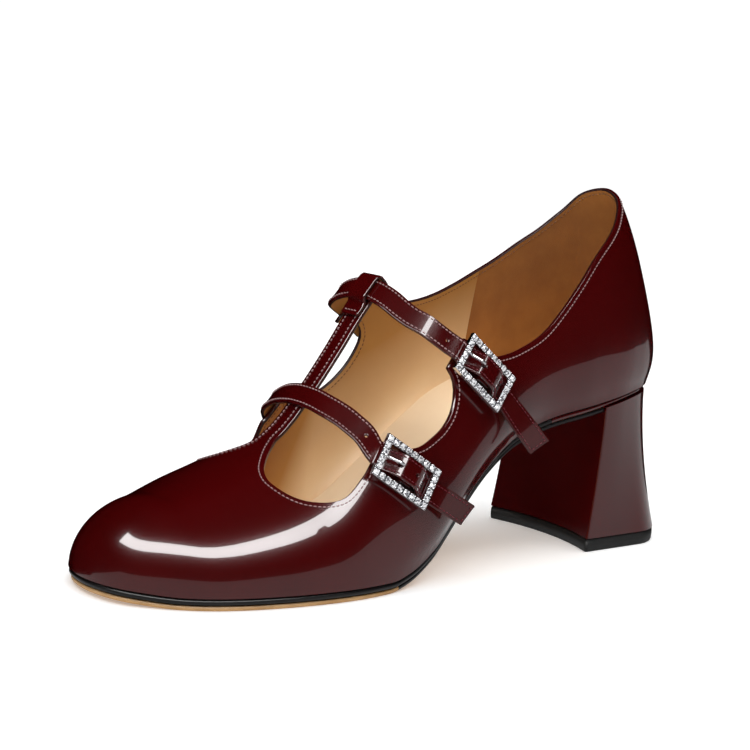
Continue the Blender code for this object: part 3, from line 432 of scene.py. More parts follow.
class Buckle:
    """Local directions of a strap at its buckle: forward along the strap, across, and outward."""

    def __init__(self, course, lean, low):
        spot = on_course(course, lean)
        self.origin = surface(spot)[0]
        self.out = normals_at(spot)[0]
        forward = step_ahead(course, lean, 0.02)
        self.forward = unit(forward - self.out * np.dot(forward, self.out))
        self.side = np.cross(self.out, self.forward)
        self.low = low
        self.bar = low + BAR / 2 + BAR_INSET
        self.tab_top = self.bar + BAR / math.sqrt(2) + GAP + TAB
        self.strap_over = self.tab_top + GAP
        self.strap_under = low - GAP - STRAP

    def point(self, forward, side, out):
        return self.origin + self.forward * forward + self.side * side + self.out * out


def ear_corners(course, lean, reach):
    """The two top corners of an ear, reach above a spot of the strap's course."""
    spot = on_course(course, lean)
    direction = unit(-step_ahead(course, lean, 0.01))
    across = unit(np.cross(normals_at(spot)[0], direction))
    up = direction * reach
    half = across * EAR_WIDTH / 2
    corners = [shifted(spot[0], up + half), shifted(spot[0], up - half)]
    heights = [surface(np.array([c]))[0][2] for c in corners]
    high, low = (corners[0], corners[1]) if heights[0] > heights[1] else (corners[1], corners[0])
    return high, low


def metric(spots):
    """Place and level in lengths, so that curves through them come out even."""
    return np.asarray(spots) * (last.girth, WALL_LENGTH)


def curve_on_wall(spots, spacing=CUT_SPACING):
    """Smooth curve through spots."""
    return smooth_line(metric(spots), spacing) / (last.girth, WALL_LENGTH)


def t_bar_side(side, along):
    """Spots on the T-bar's edge."""
    reach = np.abs(last.feather(last.station(along, side))[1])
    power = roundness(along, side) / 2
    level = np.arccos((T_BAR / 2 / reach) ** power) * 2 / math.pi
    return np.stack([last.station(along, side), level], axis=-1)


def ridge_point(along):
    return surface(np.array([[last.station(along, -1), 1.0]]))[0]


def along_per_length(along):
    """Change of along for a unit of length on the ridge."""
    step = 0.01
    return step / np.linalg.norm(ridge_point(along + step / 2) - ridge_point(along - step / 2))


def half_cut(side, throat, scoop):
    """Edge of the upper on one side, from the T-bar's end to the rear ear's far corner."""
    corners = []
    for _, course, lean, *_ in STRAPS:
        corners.append(ear_corners(course, lean, EAR_REACH) if side < 0
                       else ear_corners(course, EAR_INNER_TOP, 0.0))
    (front_far, front_near), (rear_far, rear_near) = corners
    middle = column(REAR_COURSE, COURSE, 0.0)
    end = middle - T_BAR_TAIL * along_per_length(middle)
    edge = t_bar_side(side, np.linspace(end, T_BAR_ROOT, 12))
    pieces = [
        edge,
        curve_on_wall(np.vstack([edge[-1], arc_places(throat, side), front_near])),
        curve_on_wall(np.vstack([front_near, front_far])),
        curve_on_wall(np.vstack([front_far, arc_places(scoop, side), rear_near])),
        curve_on_wall(np.vstack([rear_near, rear_far])),
    ]
    return np.vstack([pieces[0]] + [piece[1:] for piece in pieces[1:]])


def upper_cut():
    """The one inner edge of the upper, from the T-bar's end round the outer side and back."""
    outer = half_cut(-1, THROAT_OUTER, SCOOP_OUTER)
    inner = half_cut(1, THROAT_INNER, SCOOP_INNER)
    collar = curve_on_wall(np.vstack([
        outer[-1], arc_places(TOPLINE_OUTER, -1), arc_places(((0.0, TOPLINE_BACK),), -1),
        arc_places(TOPLINE_INNER, 1), inner[-1]]), RIM_SPACING)
    return np.vstack([outer, collar[1:-1], inner[::-1]])


def breast_line():
    """A point and a direction of the breast's top edge, seen from above."""
    x = -HEEL_DEPTH / 2 + BREAST_LEAN
    return np.array([x, 0.0]), np.array([math.sin(HEEL_TURN), math.cos(HEEL_TURN)])


def ahead_of_breast(points, clearance):
    """How far points lie ahead of the breast's top edge."""
    foot, along_edge = breast_line()
    forward = np.array([-along_edge[1], along_edge[0]])
    return (points - foot) @ forward - clearance


def cut_loop(loop, keep_ahead, clearance):
    """The part of a closed loop ahead of the breast, or behind it, closed by a straight edge."""
    side = ahead_of_breast(loop, clearance) * (1 if keep_ahead else -1)
    start = next(i for i in range(len(loop)) if side[i - 1] <= 0 < side[i])
    loop, side = np.roll(loop, -start, axis=0), np.roll(side, -start)
    kept = loop[side > 0]
    first = loop[-1] + (loop[0] - loop[-1]) * side[-1] / (side[-1] - side[0])
    last_in = len(kept) - 1
    t = side[last_in] / (side[last_in] - side[last_in + 1])
    final = loop[last_in] + (loop[last_in + 1] - loop[last_in]) * t
    return np.vstack([first, kept, final])


def straight(a, b, spacing):
    """Points between two ends, without the ends."""
    count = max(1, int(round(np.linalg.norm(b - a) / spacing)))
    return a + (b - a) * (np.arange(1, count) / count)[:, None]


def hollow_edge(a, b, depth, count=8):
    """Points of a shallow arc between two corners, without the corners."""
    t = (np.arange(1, count) / count)[:, None]
    edge = a + (b - a) * t
    back = np.array([b[1] - a[1], a[0] - b[0]])
    back = back / np.linalg.norm(back)
    if back[0] < 0:
        back = -back
    return edge + back * depth * 4 * t * (1 - t)


def resample(points, count):
    """The same line with a given number of even points."""
    run = run_of(points)
    return read_at(np.linspace(0, run[-1], count), run, points)


def heel_floor_loop(count):
    """Outline of the heel's floor face: a hollow breast, straight sides and a round back."""
    half = HEEL_WIDTH / 2
    turn = np.linspace(-math.pi / 2, math.pi / 2, 40)
    centre = HEEL_DEPTH * 0.05
    reach = HEEL_DEPTH / 2 - centre
    round_back = np.stack([centre + reach * np.cos(turn), half * np.sin(turn)], axis=-1)
    foot = -HEEL_DEPTH / 2
    skew = half * math.tan(HEEL_TURN)
    outer, inner = np.array([foot - skew, -half]), np.array([foot + skew, half])
    side = resample(np.vstack([outer, round_back, inner]), count)
    return np.vstack([side, hollow_edge(inner, outer, BREAST_HOLLOW)])


def heel_top_loop(count):
    """Outline of the heel's top, under the rand."""
    behind = cut_loop(outline_loop(lambda along: RAND_INSET + 0 * along), False, 0)
    if behind[0, 1] > behind[-1, 1]:
        behind = behind[::-1]
    side = resample(behind, count)
    return np.vstack([side, hollow_edge(side[-1], side[0], BREAST_HOLLOW)])


def strap_line(course, lean, inner_end, tail, turns, buckle):
    """Middle line of a strap and its outward directions, from the inner end to the tail."""
    half = BUCKLE_LENGTH / 2
    leans = np.linspace(inner_end, lean, 60)
    spots = on_course(course, leans)
    base, out = surface(spots), normals_at(spots)
    keep = (base - buckle.origin) @ buckle.forward < -(half + STRAP_RUN_IN)
    points = list((base + out * (STRAP_LIFT + STRAP / 2))[keep][::3])
    outs = list(out[keep][::3])
    low, high = buckle.strap_under + STRAP / 2, buckle.strap_over + STRAP / 2
    rise_ends = half - BUCKLE_RIM - STRAP / 2
    profile = ((-half, low), (-rise_ends, low), (-HUMP, high - GAP / 2), (0.0, high),
               (HUMP, high - GAP / 2), (rise_ends, low), (half, low))
    for forward, height in profile:
        points.append(buckle.point(forward, 0, height))
        outs.append(buckle.out)
    droop, lift, twist = (math.radians(turn) for turn in turns)
    direction = buckle.forward * math.cos(droop) - buckle.side * math.sin(droop)
    across = np.cross(buckle.out, direction)
    direction = direction * math.cos(lift) + buckle.out * math.sin(lift)
    across = across * math.cos(twist) + np.cross(direction, across) * math.sin(twist)
    start = points[-1]
    for share in (0.25, 0.6, 1.0):
        points.append(start + direction * tail * share)
        outs.append(np.cross(direction, across) * share + buckle.out * (1 - share))
    both = np.hstack([np.array(points), np.array(outs)])
    line = smooth_both(both, STRAP_SPACING)
    return line[:, :3], line[:, 3:]


def smooth_both(rows, spacing):
    """Resample points and directions together, evenly along the points."""
    run = run_of(rows[:, :3])
    curve = smooth_line(rows[:, :3], spacing)
    curve_run = run_of(curve)
    return np.hstack([curve, read_at(curve_run / curve_run[-1] * run[-1], run, rows[:, 3:])])


def ridge_normal(along):
    """Outward normal on the ridge, which lies in the middle plane."""
    step = 0.004
    t = unit(ridge_point(along + step) - ridge_point(along - step))
    n = np.array([-t[2], 0, t[0]])
    return n if n[2] > 0 else -n


# Thin leather made of a top layer, a lower layer and a rounded rim

RIM_STEPS = 6


def normalised(v):
    return v / np.maximum(np.linalg.norm(v, axis=-1), 1e-12)[..., None]


def new_object(name, points, faces, looks):
    """A mesh object in the scene."""
    mesh = bpy.data.meshes.new(name)
    mesh.from_pydata([tuple(p) for p in points], [], [tuple(int(i) for i in f) for f in faces])
    for look in looks:
        mesh.materials.append(look)
    made = bpy.data.objects.new(name, mesh)
    bpy.context.scene.collection.objects.link(made)
    return made


def new_piece(name, points, faces, looks, face_looks=None, normals=None, replaces=(), slot=None):
    """One mesh object that rides on the shoe."""
    piece = new_object(name, points, faces, looks)
    mesh = piece.data
    if face_looks is not None:
        mesh.polygons.foreach_set("material_index", np.asarray(face_looks, np.int32))
    mesh.shade_smooth()
    if normals is not None:
        mesh.normals_split_custom_set_from_vertices([tuple(n) for n in normals])
    mesh.update()
    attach(piece, "root")
    if replaces:
        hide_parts(*replaces)
    return piece


def leather(name, top, outs, faces, thickness, looks, bulge, split=RIM_STEPS // 2, square=None,
            region=None, **rest):
    """A sheet with the given top surface.  looks are those of the top, the rim and the underside;
    the rim's first split steps look like the top.  square marks vertices whose rim stays flat."""
    n = len(top)
    faces = np.asarray(faces)
    directed = {(int(a), int(b)) for f in faces for a, b in ((f[0], f[1]), (f[1], f[2]), (f[2], f[0]))}
    border = sorted((a, b) for a, b in directed if (b, a) not in directed)
    outward = np.zeros_like(top)
    for a, b in border:
        away = np.cross(top[b] - top[a], outs[a] + outs[b])
        outward[a] += away / max(np.linalg.norm(away), 1e-12)
        outward[b] += away / max(np.linalg.norm(away), 1e-12)
    edge = sorted({i for pair in border for i in pair})
    outward = normalised(outward)
    row = {v: k for k, v in enumerate(edge)}
    swell = np.broadcast_to(bulge, n).copy()
    depth = np.broadcast_to(thickness, n)[:, None]
    if square is not None:
        swell[square] = 0.0
    points = [top, top - outs * depth]
    normals = [outs, -outs]
    e = np.array(edge)
    middle = top[e] - outs[e] * depth[e] / 2
    for k in range(1, RIM_STEPS):
        turn = math.pi * k / RIM_STEPS
        points.append(middle + outward[e] * (swell[e] * math.sin(turn))[:, None]
                      + outs[e] * depth[e] / 2 * math.cos(turn))
        normals.append(normalised(outward[e] * math.sin(turn) + outs[e] * math.cos(turn)))

    def at(step, v):
        if step == 0:
            return v
        if step == RIM_STEPS:
            return n + v
        return 2 * n + (step - 1) * len(edge) + row[v]

    all_faces = [tuple(f) for f in faces] + [tuple(n + i for i in reversed(f)) for f in faces]
    under = np.full(len(faces), 2) if region is None else 2 + region
    face_looks = [0] * len(faces) + list(under)
    for step in range(RIM_STEPS):
        for a, b in border:
            all_faces.append((at(step, b), at(step, a), at(step + 1, a), at(step + 1, b)))
            face_looks.append(0 if step < split else 1)
    return new_piece(name, np.vstack(points), all_faces, looks, face_looks, np.vstack(normals), **rest)


def thinned(candidates, taken, apart):
    """Candidates that keep their distance from taken points and from each other."""
    cells = {}

    def key(p):
        return tuple(np.floor(p / apart).astype(int))

    def free(p, k):
        for i in (-1, 0, 1):
            for j in (-1, 0, 1):
                for m in (-1, 0, 1):
                    for q in cells.get((k[0] + i, k[1] + j, k[2] + m), ()):
                        if (p[0] - q[0]) ** 2 + (p[1] - q[1]) ** 2 + (p[2] - q[2]) ** 2 < apart ** 2:
                            return False
        return True

    for p in taken:
        cells.setdefault(key(p), []).append(tuple(p))
    kept = []
    for index, p in enumerate(candidates):
        k = key(p)
        if free(p, k):
            cells.setdefault(k, []).append(tuple(p))
            kept.append(index)
    return kept


def upper_normals(spots):
    """Outward normals that stay even across the ridge."""
    turned = spots.copy()
    turned[:, 1] = np.minimum(turned[:, 1], 0.97)
    n = normals_at(turned)
    share = last.feather(spots[:, 0])[0] / LENGTH
    crest = np.array([ridge_normal(a) for a in np.clip(share, HEEL_POLE + 0.01, TOE_POLE - 0.01)])
    blend = np.clip((spots[:, 1] - 0.96) / 0.04, 0, 1)[:, None]
    return normalised(n * (1 - blend) + crest * blend)


def upper_sheet():
    """Spots of the upper, its triangles and its cut edge."""
    count = int(last.girth / RIM_SPACING)
    feather = np.stack([np.arange(count) / count, np.zeros(count)], axis=-1)
    cut = upper_cut()
    rim = np.vstack([feather, cut])
    candidates = []
    for row, place in enumerate(np.arange(0, 1, WALL_SPACING * 0.87 / last.girth)):
        levels = np.linspace(0, 1, 240)
        line = last.wall(np.full(len(levels), place), levels)
        run = run_of(line)
        start = WALL_SPACING * (1.0 if row % 2 else 0.5)
        for level in np.interp(np.arange(start, run[-1], WALL_SPACING), run, levels):
            candidates.append((place, level))
    candidates = np.array(candidates)
    candidates = candidates[~inside(chart(candidates), chart(cut))]
    kept = thinned(surface(candidates), surface(rim), WALL_SPACING * WALL_CLOSEST)
    spots = np.vstack([rim, candidates[kept]])
    flat = chart(spots)
    loops = [list(range(count)), list(range(count, len(rim)))]
    faces = np.array(triangulate(flat, loops))
    faces = faces[~inside(flat[faces].mean(axis=1), chart(cut))]
    outer = surface(spots)
    normals = upper_normals(spots)
    faces = facing(faces, outer, normals)
    level_rim = np.arange(len(spots)) < count
    normals[level_rim, 2] = 0
    return spots, faces, outer, normalised(normals), cut, level_rim


def moved(spots, moves):
    """Spots reached from others by small moves along the surface."""
    for _ in range(2):
        round_, rise = slopes_at(spots)
        a, b, c = (np.sum(p * q, axis=1) for p, q in ((round_, round_), (round_, rise), (rise, rise)))
        u, v = np.sum(round_ * moves, axis=1) / 2, np.sum(rise * moves, axis=1) / 2
        det = a * c - b * b
        spots = spots + np.stack([(u * c - v * b) / det, (v * a - u * b) / det], axis=1)
    return spots


def seam_spots(cut, offset):
    """A line on the wall that follows the cut edge at a distance, in runs without breaks."""
    points, outs = surface(cut), normals_at(cut)
    tangents = np.roll(points, -1, axis=0) - np.roll(points, 1, axis=0)
    across = normalised(np.cross(tangents, outs))
    probe = surface(moved(cut, across * 0.001))
    away = np.sign(np.sum((probe - points) * across, axis=1))
    line = chart(cut)
    for sign in (1, -1):
        spots = moved(cut, across * away[:, None] * offset * sign)
        if inside(chart(spots), line).mean() < 0.5:
            break
    here = surface(spots)
    clear = np.array([np.min(np.linalg.norm(points - p, axis=1)) > offset * 0.96 for p in here])
    clear &= ~inside(chart(spots), line)
    start = int(np.argmin(clear))
    order = [(start + i) % len(cut) for i in range(len(cut))]
    runs, run = [], []
    for i in order:
        if clear[i]:
            run.append(i)
        elif run:
            runs.append(spots[run])
            run = []
    if run:
        runs.append(spots[run])
    return runs


def evenly(points, others, step):
    """Points along a line at even steps, with rows of other values read at the same places."""
    run = run_of(points)
    at = np.arange(step / 2, run[-1], step)
    return [read_at(at, run, rows) for rows in (points, *others)]


def bands(base, rings, sides):
    """Faces between rings of points that follow one another, from the point numbered base."""
    return [(a + i, a + (i + 1) % sides, a + sides + (i + 1) % sides, a + sides + i)
            for a in range(base, base + (rings - 1) * sides, sides) for i in range(sides)]


STITCH_PITCH = 0.0016
STITCH = 0.00112         # length of a stitch
STITCH_RIDE = 0.75       # how high the thread's middle line rides, in radii of the thread
STITCH_DIP = 1.05        # how far it dips at both ends
STITCH_TAPER = 0.45      # how much thinner it gets there
THREAD_RADIUS = 0.00022
FINE_THREAD_RADIUS = 0.00018
STITCH_SIDES, STITCH_RINGS = 6, 5


def stitches(name, rows, look, radius=THREAD_RADIUS):
    """Rows of short raised threads, each a rounded bar whose ends dip into the leather."""
    points, faces = [], []
    for line, outs in rows:
        if len(line) < 4:
            continue
        centres, ups, ahead = evenly(line, [outs, np.gradient(line, axis=0)], STITCH_PITCH)
        tangents = normalised(ahead)
        ups = normalised(ups - tangents * np.sum(ups * tangents, axis=1)[:, None])
        sides = np.cross(ups, tangents)
        for c, t, u, s in zip(centres, tangents, ups, sides):
            base = len(points)
            for k in range(STITCH_RINGS):
                share = -1 + 2 * k / (STITCH_RINGS - 1)
                thick = radius * (1 - STITCH_TAPER * share ** 4)
                middle = c + t * share * STITCH / 2 + u * radius * (STITCH_RIDE - STITCH_DIP * share ** 4)
                for j in range(STITCH_SIDES):
                    turn = 2 * math.pi * j / STITCH_SIDES
                    points.append(middle + (s * math.cos(turn) + u * math.sin(turn)) * thick)
            faces += bands(base, STITCH_RINGS, STITCH_SIDES)
            faces.append(tuple(base + j for j in reversed(range(STITCH_SIDES))))
            top = base + (STITCH_RINGS - 1) * STITCH_SIDES
            faces.append(tuple(top + j for j in range(STITCH_SIDES)))
    return new_piece(name, points, faces, [look])


# Materials


def shader(name, **values):
    """A material, its node tree and its main shader with the named inputs set."""
    made = bpy.data.materials.new(name)
    made.use_nodes = True
    tree = made.node_tree
    main = tree.nodes["Principled BSDF"]
    for label, value in values.items():
        main.inputs[label.replace("_", " ")].default_value = value
    return made, tree, main


def node(tree, kind, values=(), sources=()):
    """A shader node with some inputs set and others fed."""
    made = tree.nodes.new("ShaderNode" + kind)
    for label, value in values:
        made.inputs[label].default_value = value
    for label, source in sources:
        tree.links.new(source, made.inputs[label])
    return made


def noise(tree, scale, detail=3.0, rough=0.5):
    """Noise in the shoe's own coordinates."""
    where = node(tree, "TexCoord").outputs["Object"]
    return node(tree, "TexNoise", (("Scale", scale), ("Detail", detail), ("Roughness", rough)),
                (("Vector", where),)).outputs["Fac"]


def ramp(tree, source, stops):
    """A colour ramp fed by a value."""
    made = node(tree, "ValToRGB", (), (("Fac", source),))
    elements = made.color_ramp.elements
    while len(elements) < len(stops):
        elements.new(0.5)
    for element, (place, colour) in zip(elements, stops):
        element.position = place
        element.color = (*colour, 1)
    return made.outputs["Color"]


def bump(tree, source, depth, below=None):
    """Bump of a depth in metres, on top of another bump."""
    sources = [("Height", source)] + ([("Normal", below)] if below is not None else [])
    return node(tree, "Bump", (("Strength", 1.0), ("Distance", depth)), sources).outputs["Normal"]


def patent_leather(name, dark, light, ripple):
    made, tree, main = shader(name, Roughness=0.22, Specular_IOR_Level=0.25, Coat_Weight=1.0,
                              Coat_Roughness=0.015, Coat_IOR=1.5)
    tree.links.new(ramp(tree, noise(tree, 30, 2), [(0.35, dark), (0.65, light)]), main.inputs["Base Color"])
    waves = bump(tree, noise(tree, 55, 1.0, 0.4), ripple)
    grain = bump(tree, noise(tree, 2600, 2), 0.000004, waves)
    tree.links.new(grain, main.inputs["Normal"])
    tree.links.new(waves, main.inputs["Coat Normal"])
    return made


def matt_leather(name, dark, light, rough, grain_scale, depth, patch=45):
    """Unglazed leather with pores, fine grain and soft patches of colour."""
    made, tree, main = shader(name, Roughness=rough, Specular_IOR_Level=0.35)
    tree.links.new(ramp(tree, noise(tree, patch, 4, 0.6), [(0.3, dark), (0.7, light)]),
                   main.inputs["Base Color"])
    pores = bump(tree, noise(tree, grain_scale, 3, 0.6), depth)
    tree.links.new(pores, main.inputs["Normal"])
    return made


def lining_with_painted_light():
    """Smooth leather with painted light and shade: painted paler towards the insole, as if lit by light
    bounced off it, and darker higher up, as if in shade; the height attribute is 0 at the feather line.
    """
    made, tree, main = shader("tan_lining_painted_light", Roughness=0.42, Specular_IOR_Level=0.35)
    height = node(tree, "Attribute")
    height.attribute_name = "height"
    # painted light and shade: pale cream low on the wall, brown higher up, darkest where the height is
    # raised under the vamp
    painted_light_tone = ramp(tree, height.outputs["Fac"], [(0.04, (0.92, 0.68, 0.40)), (0.30, (0.52, 0.25, 0.062)),
                                              (0.60, (0.38, 0.145, 0.024))])
    shade = ramp(tree, noise(tree, 25, 4, 0.6), [(0.3, (0.90, 0.88, 0.86)), (0.7, (1.0, 1.0, 1.0))])
    mottle = node(tree, "VectorMath", (), ((0, painted_light_tone), (1, shade)))
    mottle.operation = "MULTIPLY"
    tree.links.new(mottle.outputs["Vector"], main.inputs["Base Color"])
    tree.links.new(bump(tree, noise(tree, 1800, 3, 0.6), 0.00002), main.inputs["Normal"])
    return made


PATENT = patent_leather("burgundy_patent", (0.046, 0.0006, 0.0009), (0.056, 0.0008, 0.0012), 0.00006)
EDGE = matt_leather("dark_edge", (0.012, 0.003, 0.003), (0.03, 0.006, 0.006), 0.45, 3000, 0.00002)
LINING_PAINTED_LIGHT = lining_with_painted_light()
STRAP_LINING = matt_leather("strap_lining", (0.36, 0.15, 0.035), (0.44, 0.19, 0.05), 0.42, 1800, 0.00002, 25)
COUNTER = matt_leather("suede_lining", (0.32, 0.115, 0.014), (0.42, 0.16, 0.024), 0.85, 2600, 0.00008, 60)
INSOLE_LOOK = matt_leather("cream_insole", (0.84, 0.64, 0.42), (0.88, 0.70, 0.47), 0.5, 1500, 0.00002)
BLACK = matt_leather("black_edge", (0.003, 0.003, 0.003), (0.009, 0.008, 0.008), 0.3, 900, 0.00003)
TAN = matt_leather("tan_sole_leather", (0.50, 0.27, 0.10), (0.66, 0.40, 0.18), 0.45, 900, 0.00004, 90)
RUBBER = matt_leather("black_rubber", (0.008, 0.008, 0.008), (0.014, 0.014, 0.014), 0.55, 1200, 0.00004)
# painted highlight: the burgundy thread painted pale rose on the topline, straps and loop, as if catching
# the overhead light; the red thread below keeps its own dark burgundy, on the tails
THREAD_PAINTED_HIGHLIGHT = matt_leather("rose_thread_painted_highlight", (0.30, 0.18, 0.18), (0.44, 0.31, 0.31), 0.4, 4000, 0.00005)
RED_THREAD = matt_leather("red_thread", (0.085, 0.004, 0.010), (0.13, 0.008, 0.018), 0.4, 4000, 0.00005)
BROWN_THREAD = matt_leather("brown_thread", (0.16, 0.07, 0.025), (0.24, 0.11, 0.04), 0.5, 4000, 0.00005)
SILVER = shader("silver", Base_Color=(0.82, 0.82, 0.84, 1), Metallic=1.0, Roughness=0.12)[0]


def crystal():
    """Clear cut stone over a bright foil, with painted glints: its base colour is spotted bright and dark at
    random, as painted glints and painted dark facets.
    """
    made, tree, main = shader("crystal", Roughness=0.08, Coat_Weight=1.0, Coat_Roughness=0.0, IOR=1.9)
    # painted glints: bright and dark patches of base colour stand for facets that catch or miss the light
    painted_glints = noise(tree, 1500, 0)
    tree.links.new(ramp(tree, painted_glints, [(0.40, (0.16, 0.16, 0.18)), (0.50, (0.92, 0.93, 0.95))]),
                   main.inputs["Base Color"])
    return made


CRYSTAL = crystal()


# The upper

UPPER_BULGE = 0.00025   # rounding of the cut edges
COUNTER_FRONT = 0.260   # along: the heel lining of suede starts here
STITCH_INSET = 0.0015
PAINTED_SHADE_UNDER_VAMP = ((0.54, 0.66), (0.0, 0.50))   # along, and how much painted shade darkens the lining there


def build_upper():
    spots, faces, outer, normals, cut, level_rim = upper_sheet()
    share = last.feather(spots[:, 0])[0] / LENGTH
    region = (share[faces].mean(axis=1) < COUNTER_FRONT).astype(int)
    piece = leather("upper_leather", outer, normals, faces, WALL, [PATENT, EDGE, LINING_PAINTED_LIGHT, COUNTER],
                    UPPER_BULGE, square=level_rim, region=region, replaces=("upper",), slot="patent")
    # painted light and shade on the lining: the height attribute holds each point's level, raised towards
    # the toe to paint shade under the vamp
    height = piece.data.attributes.new("height", "FLOAT", "POINT")
    values = np.zeros(len(piece.data.vertices), np.float32)
    values[:2 * len(spots)] = np.tile(spots[:, 1] + np.interp(share, *PAINTED_SHADE_UNDER_VAMP), 2)
    height.data.foreach_set("value", values)
    outer_rows, inner_rows = [], []
    for run in seam_spots(cut, STITCH_INSET):
        points, outs = surface(run), normals_at(run)
        outer_rows.append((points, outs))
        inner_rows.append((points - outs * WALL, -outs))
    stitches("topline_stitches", outer_rows, THREAD_PAINTED_HIGHLIGHT)
    stitches("lining_stitches", inner_rows, BROWN_THREAD, FINE_THREAD_RADIUS)


# The sole and the insole

SOLE_BULGE = 0.0004
BLACK_WAIST = 0.60      # along: behind this the outsole's edge is dyed black
BLACK_SEAT = 0.28       # along: behind this the rand's edge is covered like the heel
SEAT_ENDS = (0.12, 0.22)   # along: the rand steps out between these
PAD_BULGE = 0.0014      # how far the padding swells towards the walls
PAD_THIN = (0.55, 0.70)    # along: the swelling fades between these


def plate(name, loop, low, high, looks, bulge, spacing=PLATE_SPACING, **rest):
    """A plate with rounded edges; its heights and the edges' bulge are functions of along."""
    loop = np.asarray(loop)
    step_x = np.arange(BACK_X - LENGTH, BACK_X, spacing)
    grid = np.array([(x, y) for x in step_x for y in np.arange(-BALL_WIDTH / 2, BALL_WIDTH / 2, spacing)])
    grid = grid[inside(grid, loop)]
    kept = thinned(on_floor(grid), on_floor(loop), spacing * CLOSEST)
    flat = np.vstack([loop, grid[kept]])
    faces = np.array(triangulate(flat, [list(range(len(loop)))]))
    along = (BACK_X - flat[:, 0]) / LENGTH
    top = np.column_stack([flat, high(along)])
    step = 1e-3
    slope = (high(along + step) - high(along - step)) / (2 * step) / -LENGTH
    outs = normalised(np.column_stack([-slope, np.zeros(len(flat)), np.ones(len(flat))]))
    faces = facing(faces, on_floor(flat), outs)
    thickness = (high(along) - low(along)) * outs[:, 2]
    return leather(name, top, outs, faces, thickness, looks, bulge(along), split=0, **rest)


def softened(loop, reach):
    """A closed outline whose sharp corners are rounded over a reach."""
    rows = []
    n = len(loop)
    for i in range(n):
        before, here, after = loop[i - 1], loop[i], loop[(i + 1) % n]
        u, v = before - here, after - here
        bend = math.acos(np.clip(np.dot(u, v) / (np.linalg.norm(u) * np.linalg.norm(v)), -1, 1))
        if bend > math.radians(150):
            rows.append(here)
            continue
        a = here + unit(u) * min(reach, np.linalg.norm(u) * 0.9)
        b = here + unit(v) * min(reach, np.linalg.norm(v) * 0.9)
        for t in np.linspace(0, 1, 6):
            rows.append(a * (1 - t) ** 2 + here * 2 * t * (1 - t) + b * t * t)
    return np.array(rows)


def build_sole():
    bulge = SOLE_BULGE

    def rand_inset(along):
        return np.interp(along, SEAT_ENDS, (SEAT_INSET, RAND_INSET)) + bulge

    def rand_low(along):
        return ground(along) + OUTSOLE + SOLE_GAP

    def insole_high(along):
        return sole_top(along) + np.interp(along, PAD_ENDS, (INSOLE, INSOLE_TOE))

    rand = plate("rand_edge", outline_loop(rand_inset), rand_low, lambda a: rand_low(a) + RAND,
                 [BLACK, BLACK, BLACK, PATENT], lambda a: bulge + 0 * a, replaces=("rand",),
                 slot="black_edge")
    for face in rand.data.polygons:
        if face.center.x > BACK_X - BLACK_SEAT * LENGTH:
            face.material_index = 3
    inner = WALL + 2 * GAP + bulge
    plate("insole_sock", outline_loop(lambda a: inner + 0 * a), sole_top, insole_high,
          [INSOLE_LOOK, INSOLE_LOOK, TAN], lambda a: np.interp(a, PAD_THIN, (PAD_BULGE, bulge)),
          replaces=("insole",), slot="insole")
    forepart = cut_loop(outline_loop(lambda a: OUTSOLE_INSET + bulge / 2 + 0 * a), True, GAP + bulge / 2)
    edge = straight(forepart[-1], forepart[0], RIM_SPACING)
    outsole = plate("outsole_leather", np.vstack([forepart, edge]), ground, lambda a: ground(a) + OUTSOLE,
                    [TAN, TAN, TAN, BLACK], lambda a: bulge / 2 + 0 * a, replaces=("outsole",),
                    slot="sole_leather")
    for face in outsole.data.polygons:
        if face.material_index == 1 and face.center.x > BACK_X - BLACK_WAIST * LENGTH:
            face.material_index = 3


HEEL_CORNER = 0.0012       # the heel's two front corners are rounded over this reach
LIFT_BULGE = 0.0003
HALF_LIFT = 0.026          # the rubber's outline shrinks by the bulge at this distance from its middle
HEEL_SIDE, HEEL_LEVELS = 110, 26
HEEL_SHARP = math.radians(40)


def build_heel():
    """The covered block with its softened corners, and the rubber under it."""
    low, high = (softened(loop(HEEL_SIDE), HEEL_CORNER) for loop in (heel_floor_loop, heel_top_loop))
    n = len(low)
    roof = ground((BACK_X - high[:, 0]) / LENGTH) + OUTSOLE
    foot = LIFT + GAP
    rings = []
    for s in np.arange(HEEL_LEVELS + 1) / HEEL_LEVELS:
        flat = low + (high - low) * (1 - (1 - s) ** FLARE)
        rings.append(np.column_stack([flat, foot + (roof - foot) * s]))
    points = np.vstack(rings)
    faces = bands(0, HEEL_LEVELS + 1, n)
    faces += [tuple(reversed(f)) for f in triangulate(rings[0][:, :2], [list(range(n))])]
    faces += [tuple(HEEL_LEVELS * n + i for i in f) for f in triangulate(rings[-1][:, :2], [list(range(n))])]
    outward = points[0] - points[:n].mean(axis=0)
    if np.sum(np.cross(points[1] - points[0], points[n] - points[0]) * outward) < 0:
        faces = [tuple(reversed(f)) for f in faces]
    block = new_piece("heel_cover", points, faces, [PATENT], replaces=("heel_block",), slot="patent")
    block.data.set_sharp_from_angle(angle=HEEL_SHARP)
    flat = low * (1 - LIFT_BULGE / HALF_LIFT)
    up = np.tile((0.0, 0.0, 1.0), (n, 1))
    lid = facing(np.array(triangulate(flat, [list(range(n))])), on_floor(flat), up)
    leather("heel_tip", np.column_stack([flat, np.full(n, LIFT)]), up, lid, LIFT, [RUBBER, RUBBER, RUBBER],
            LIFT_BULGE, replaces=("top_lift",), slot="lift_rubber")


# Straps

STRAP_BULGE, TAB_BULGE, LOOP_BULGE = 0.00035, 0.00015, 0.0003   # rounding of the edges
STRAP_CORNER, LOOP_CORNER = 0.0010, 0.0008
STRAP_SEAM, LOOP_SEAM = 0.0011, 0.0012   # the stitches run this far inside the edge
HOLE_SIDES = 14


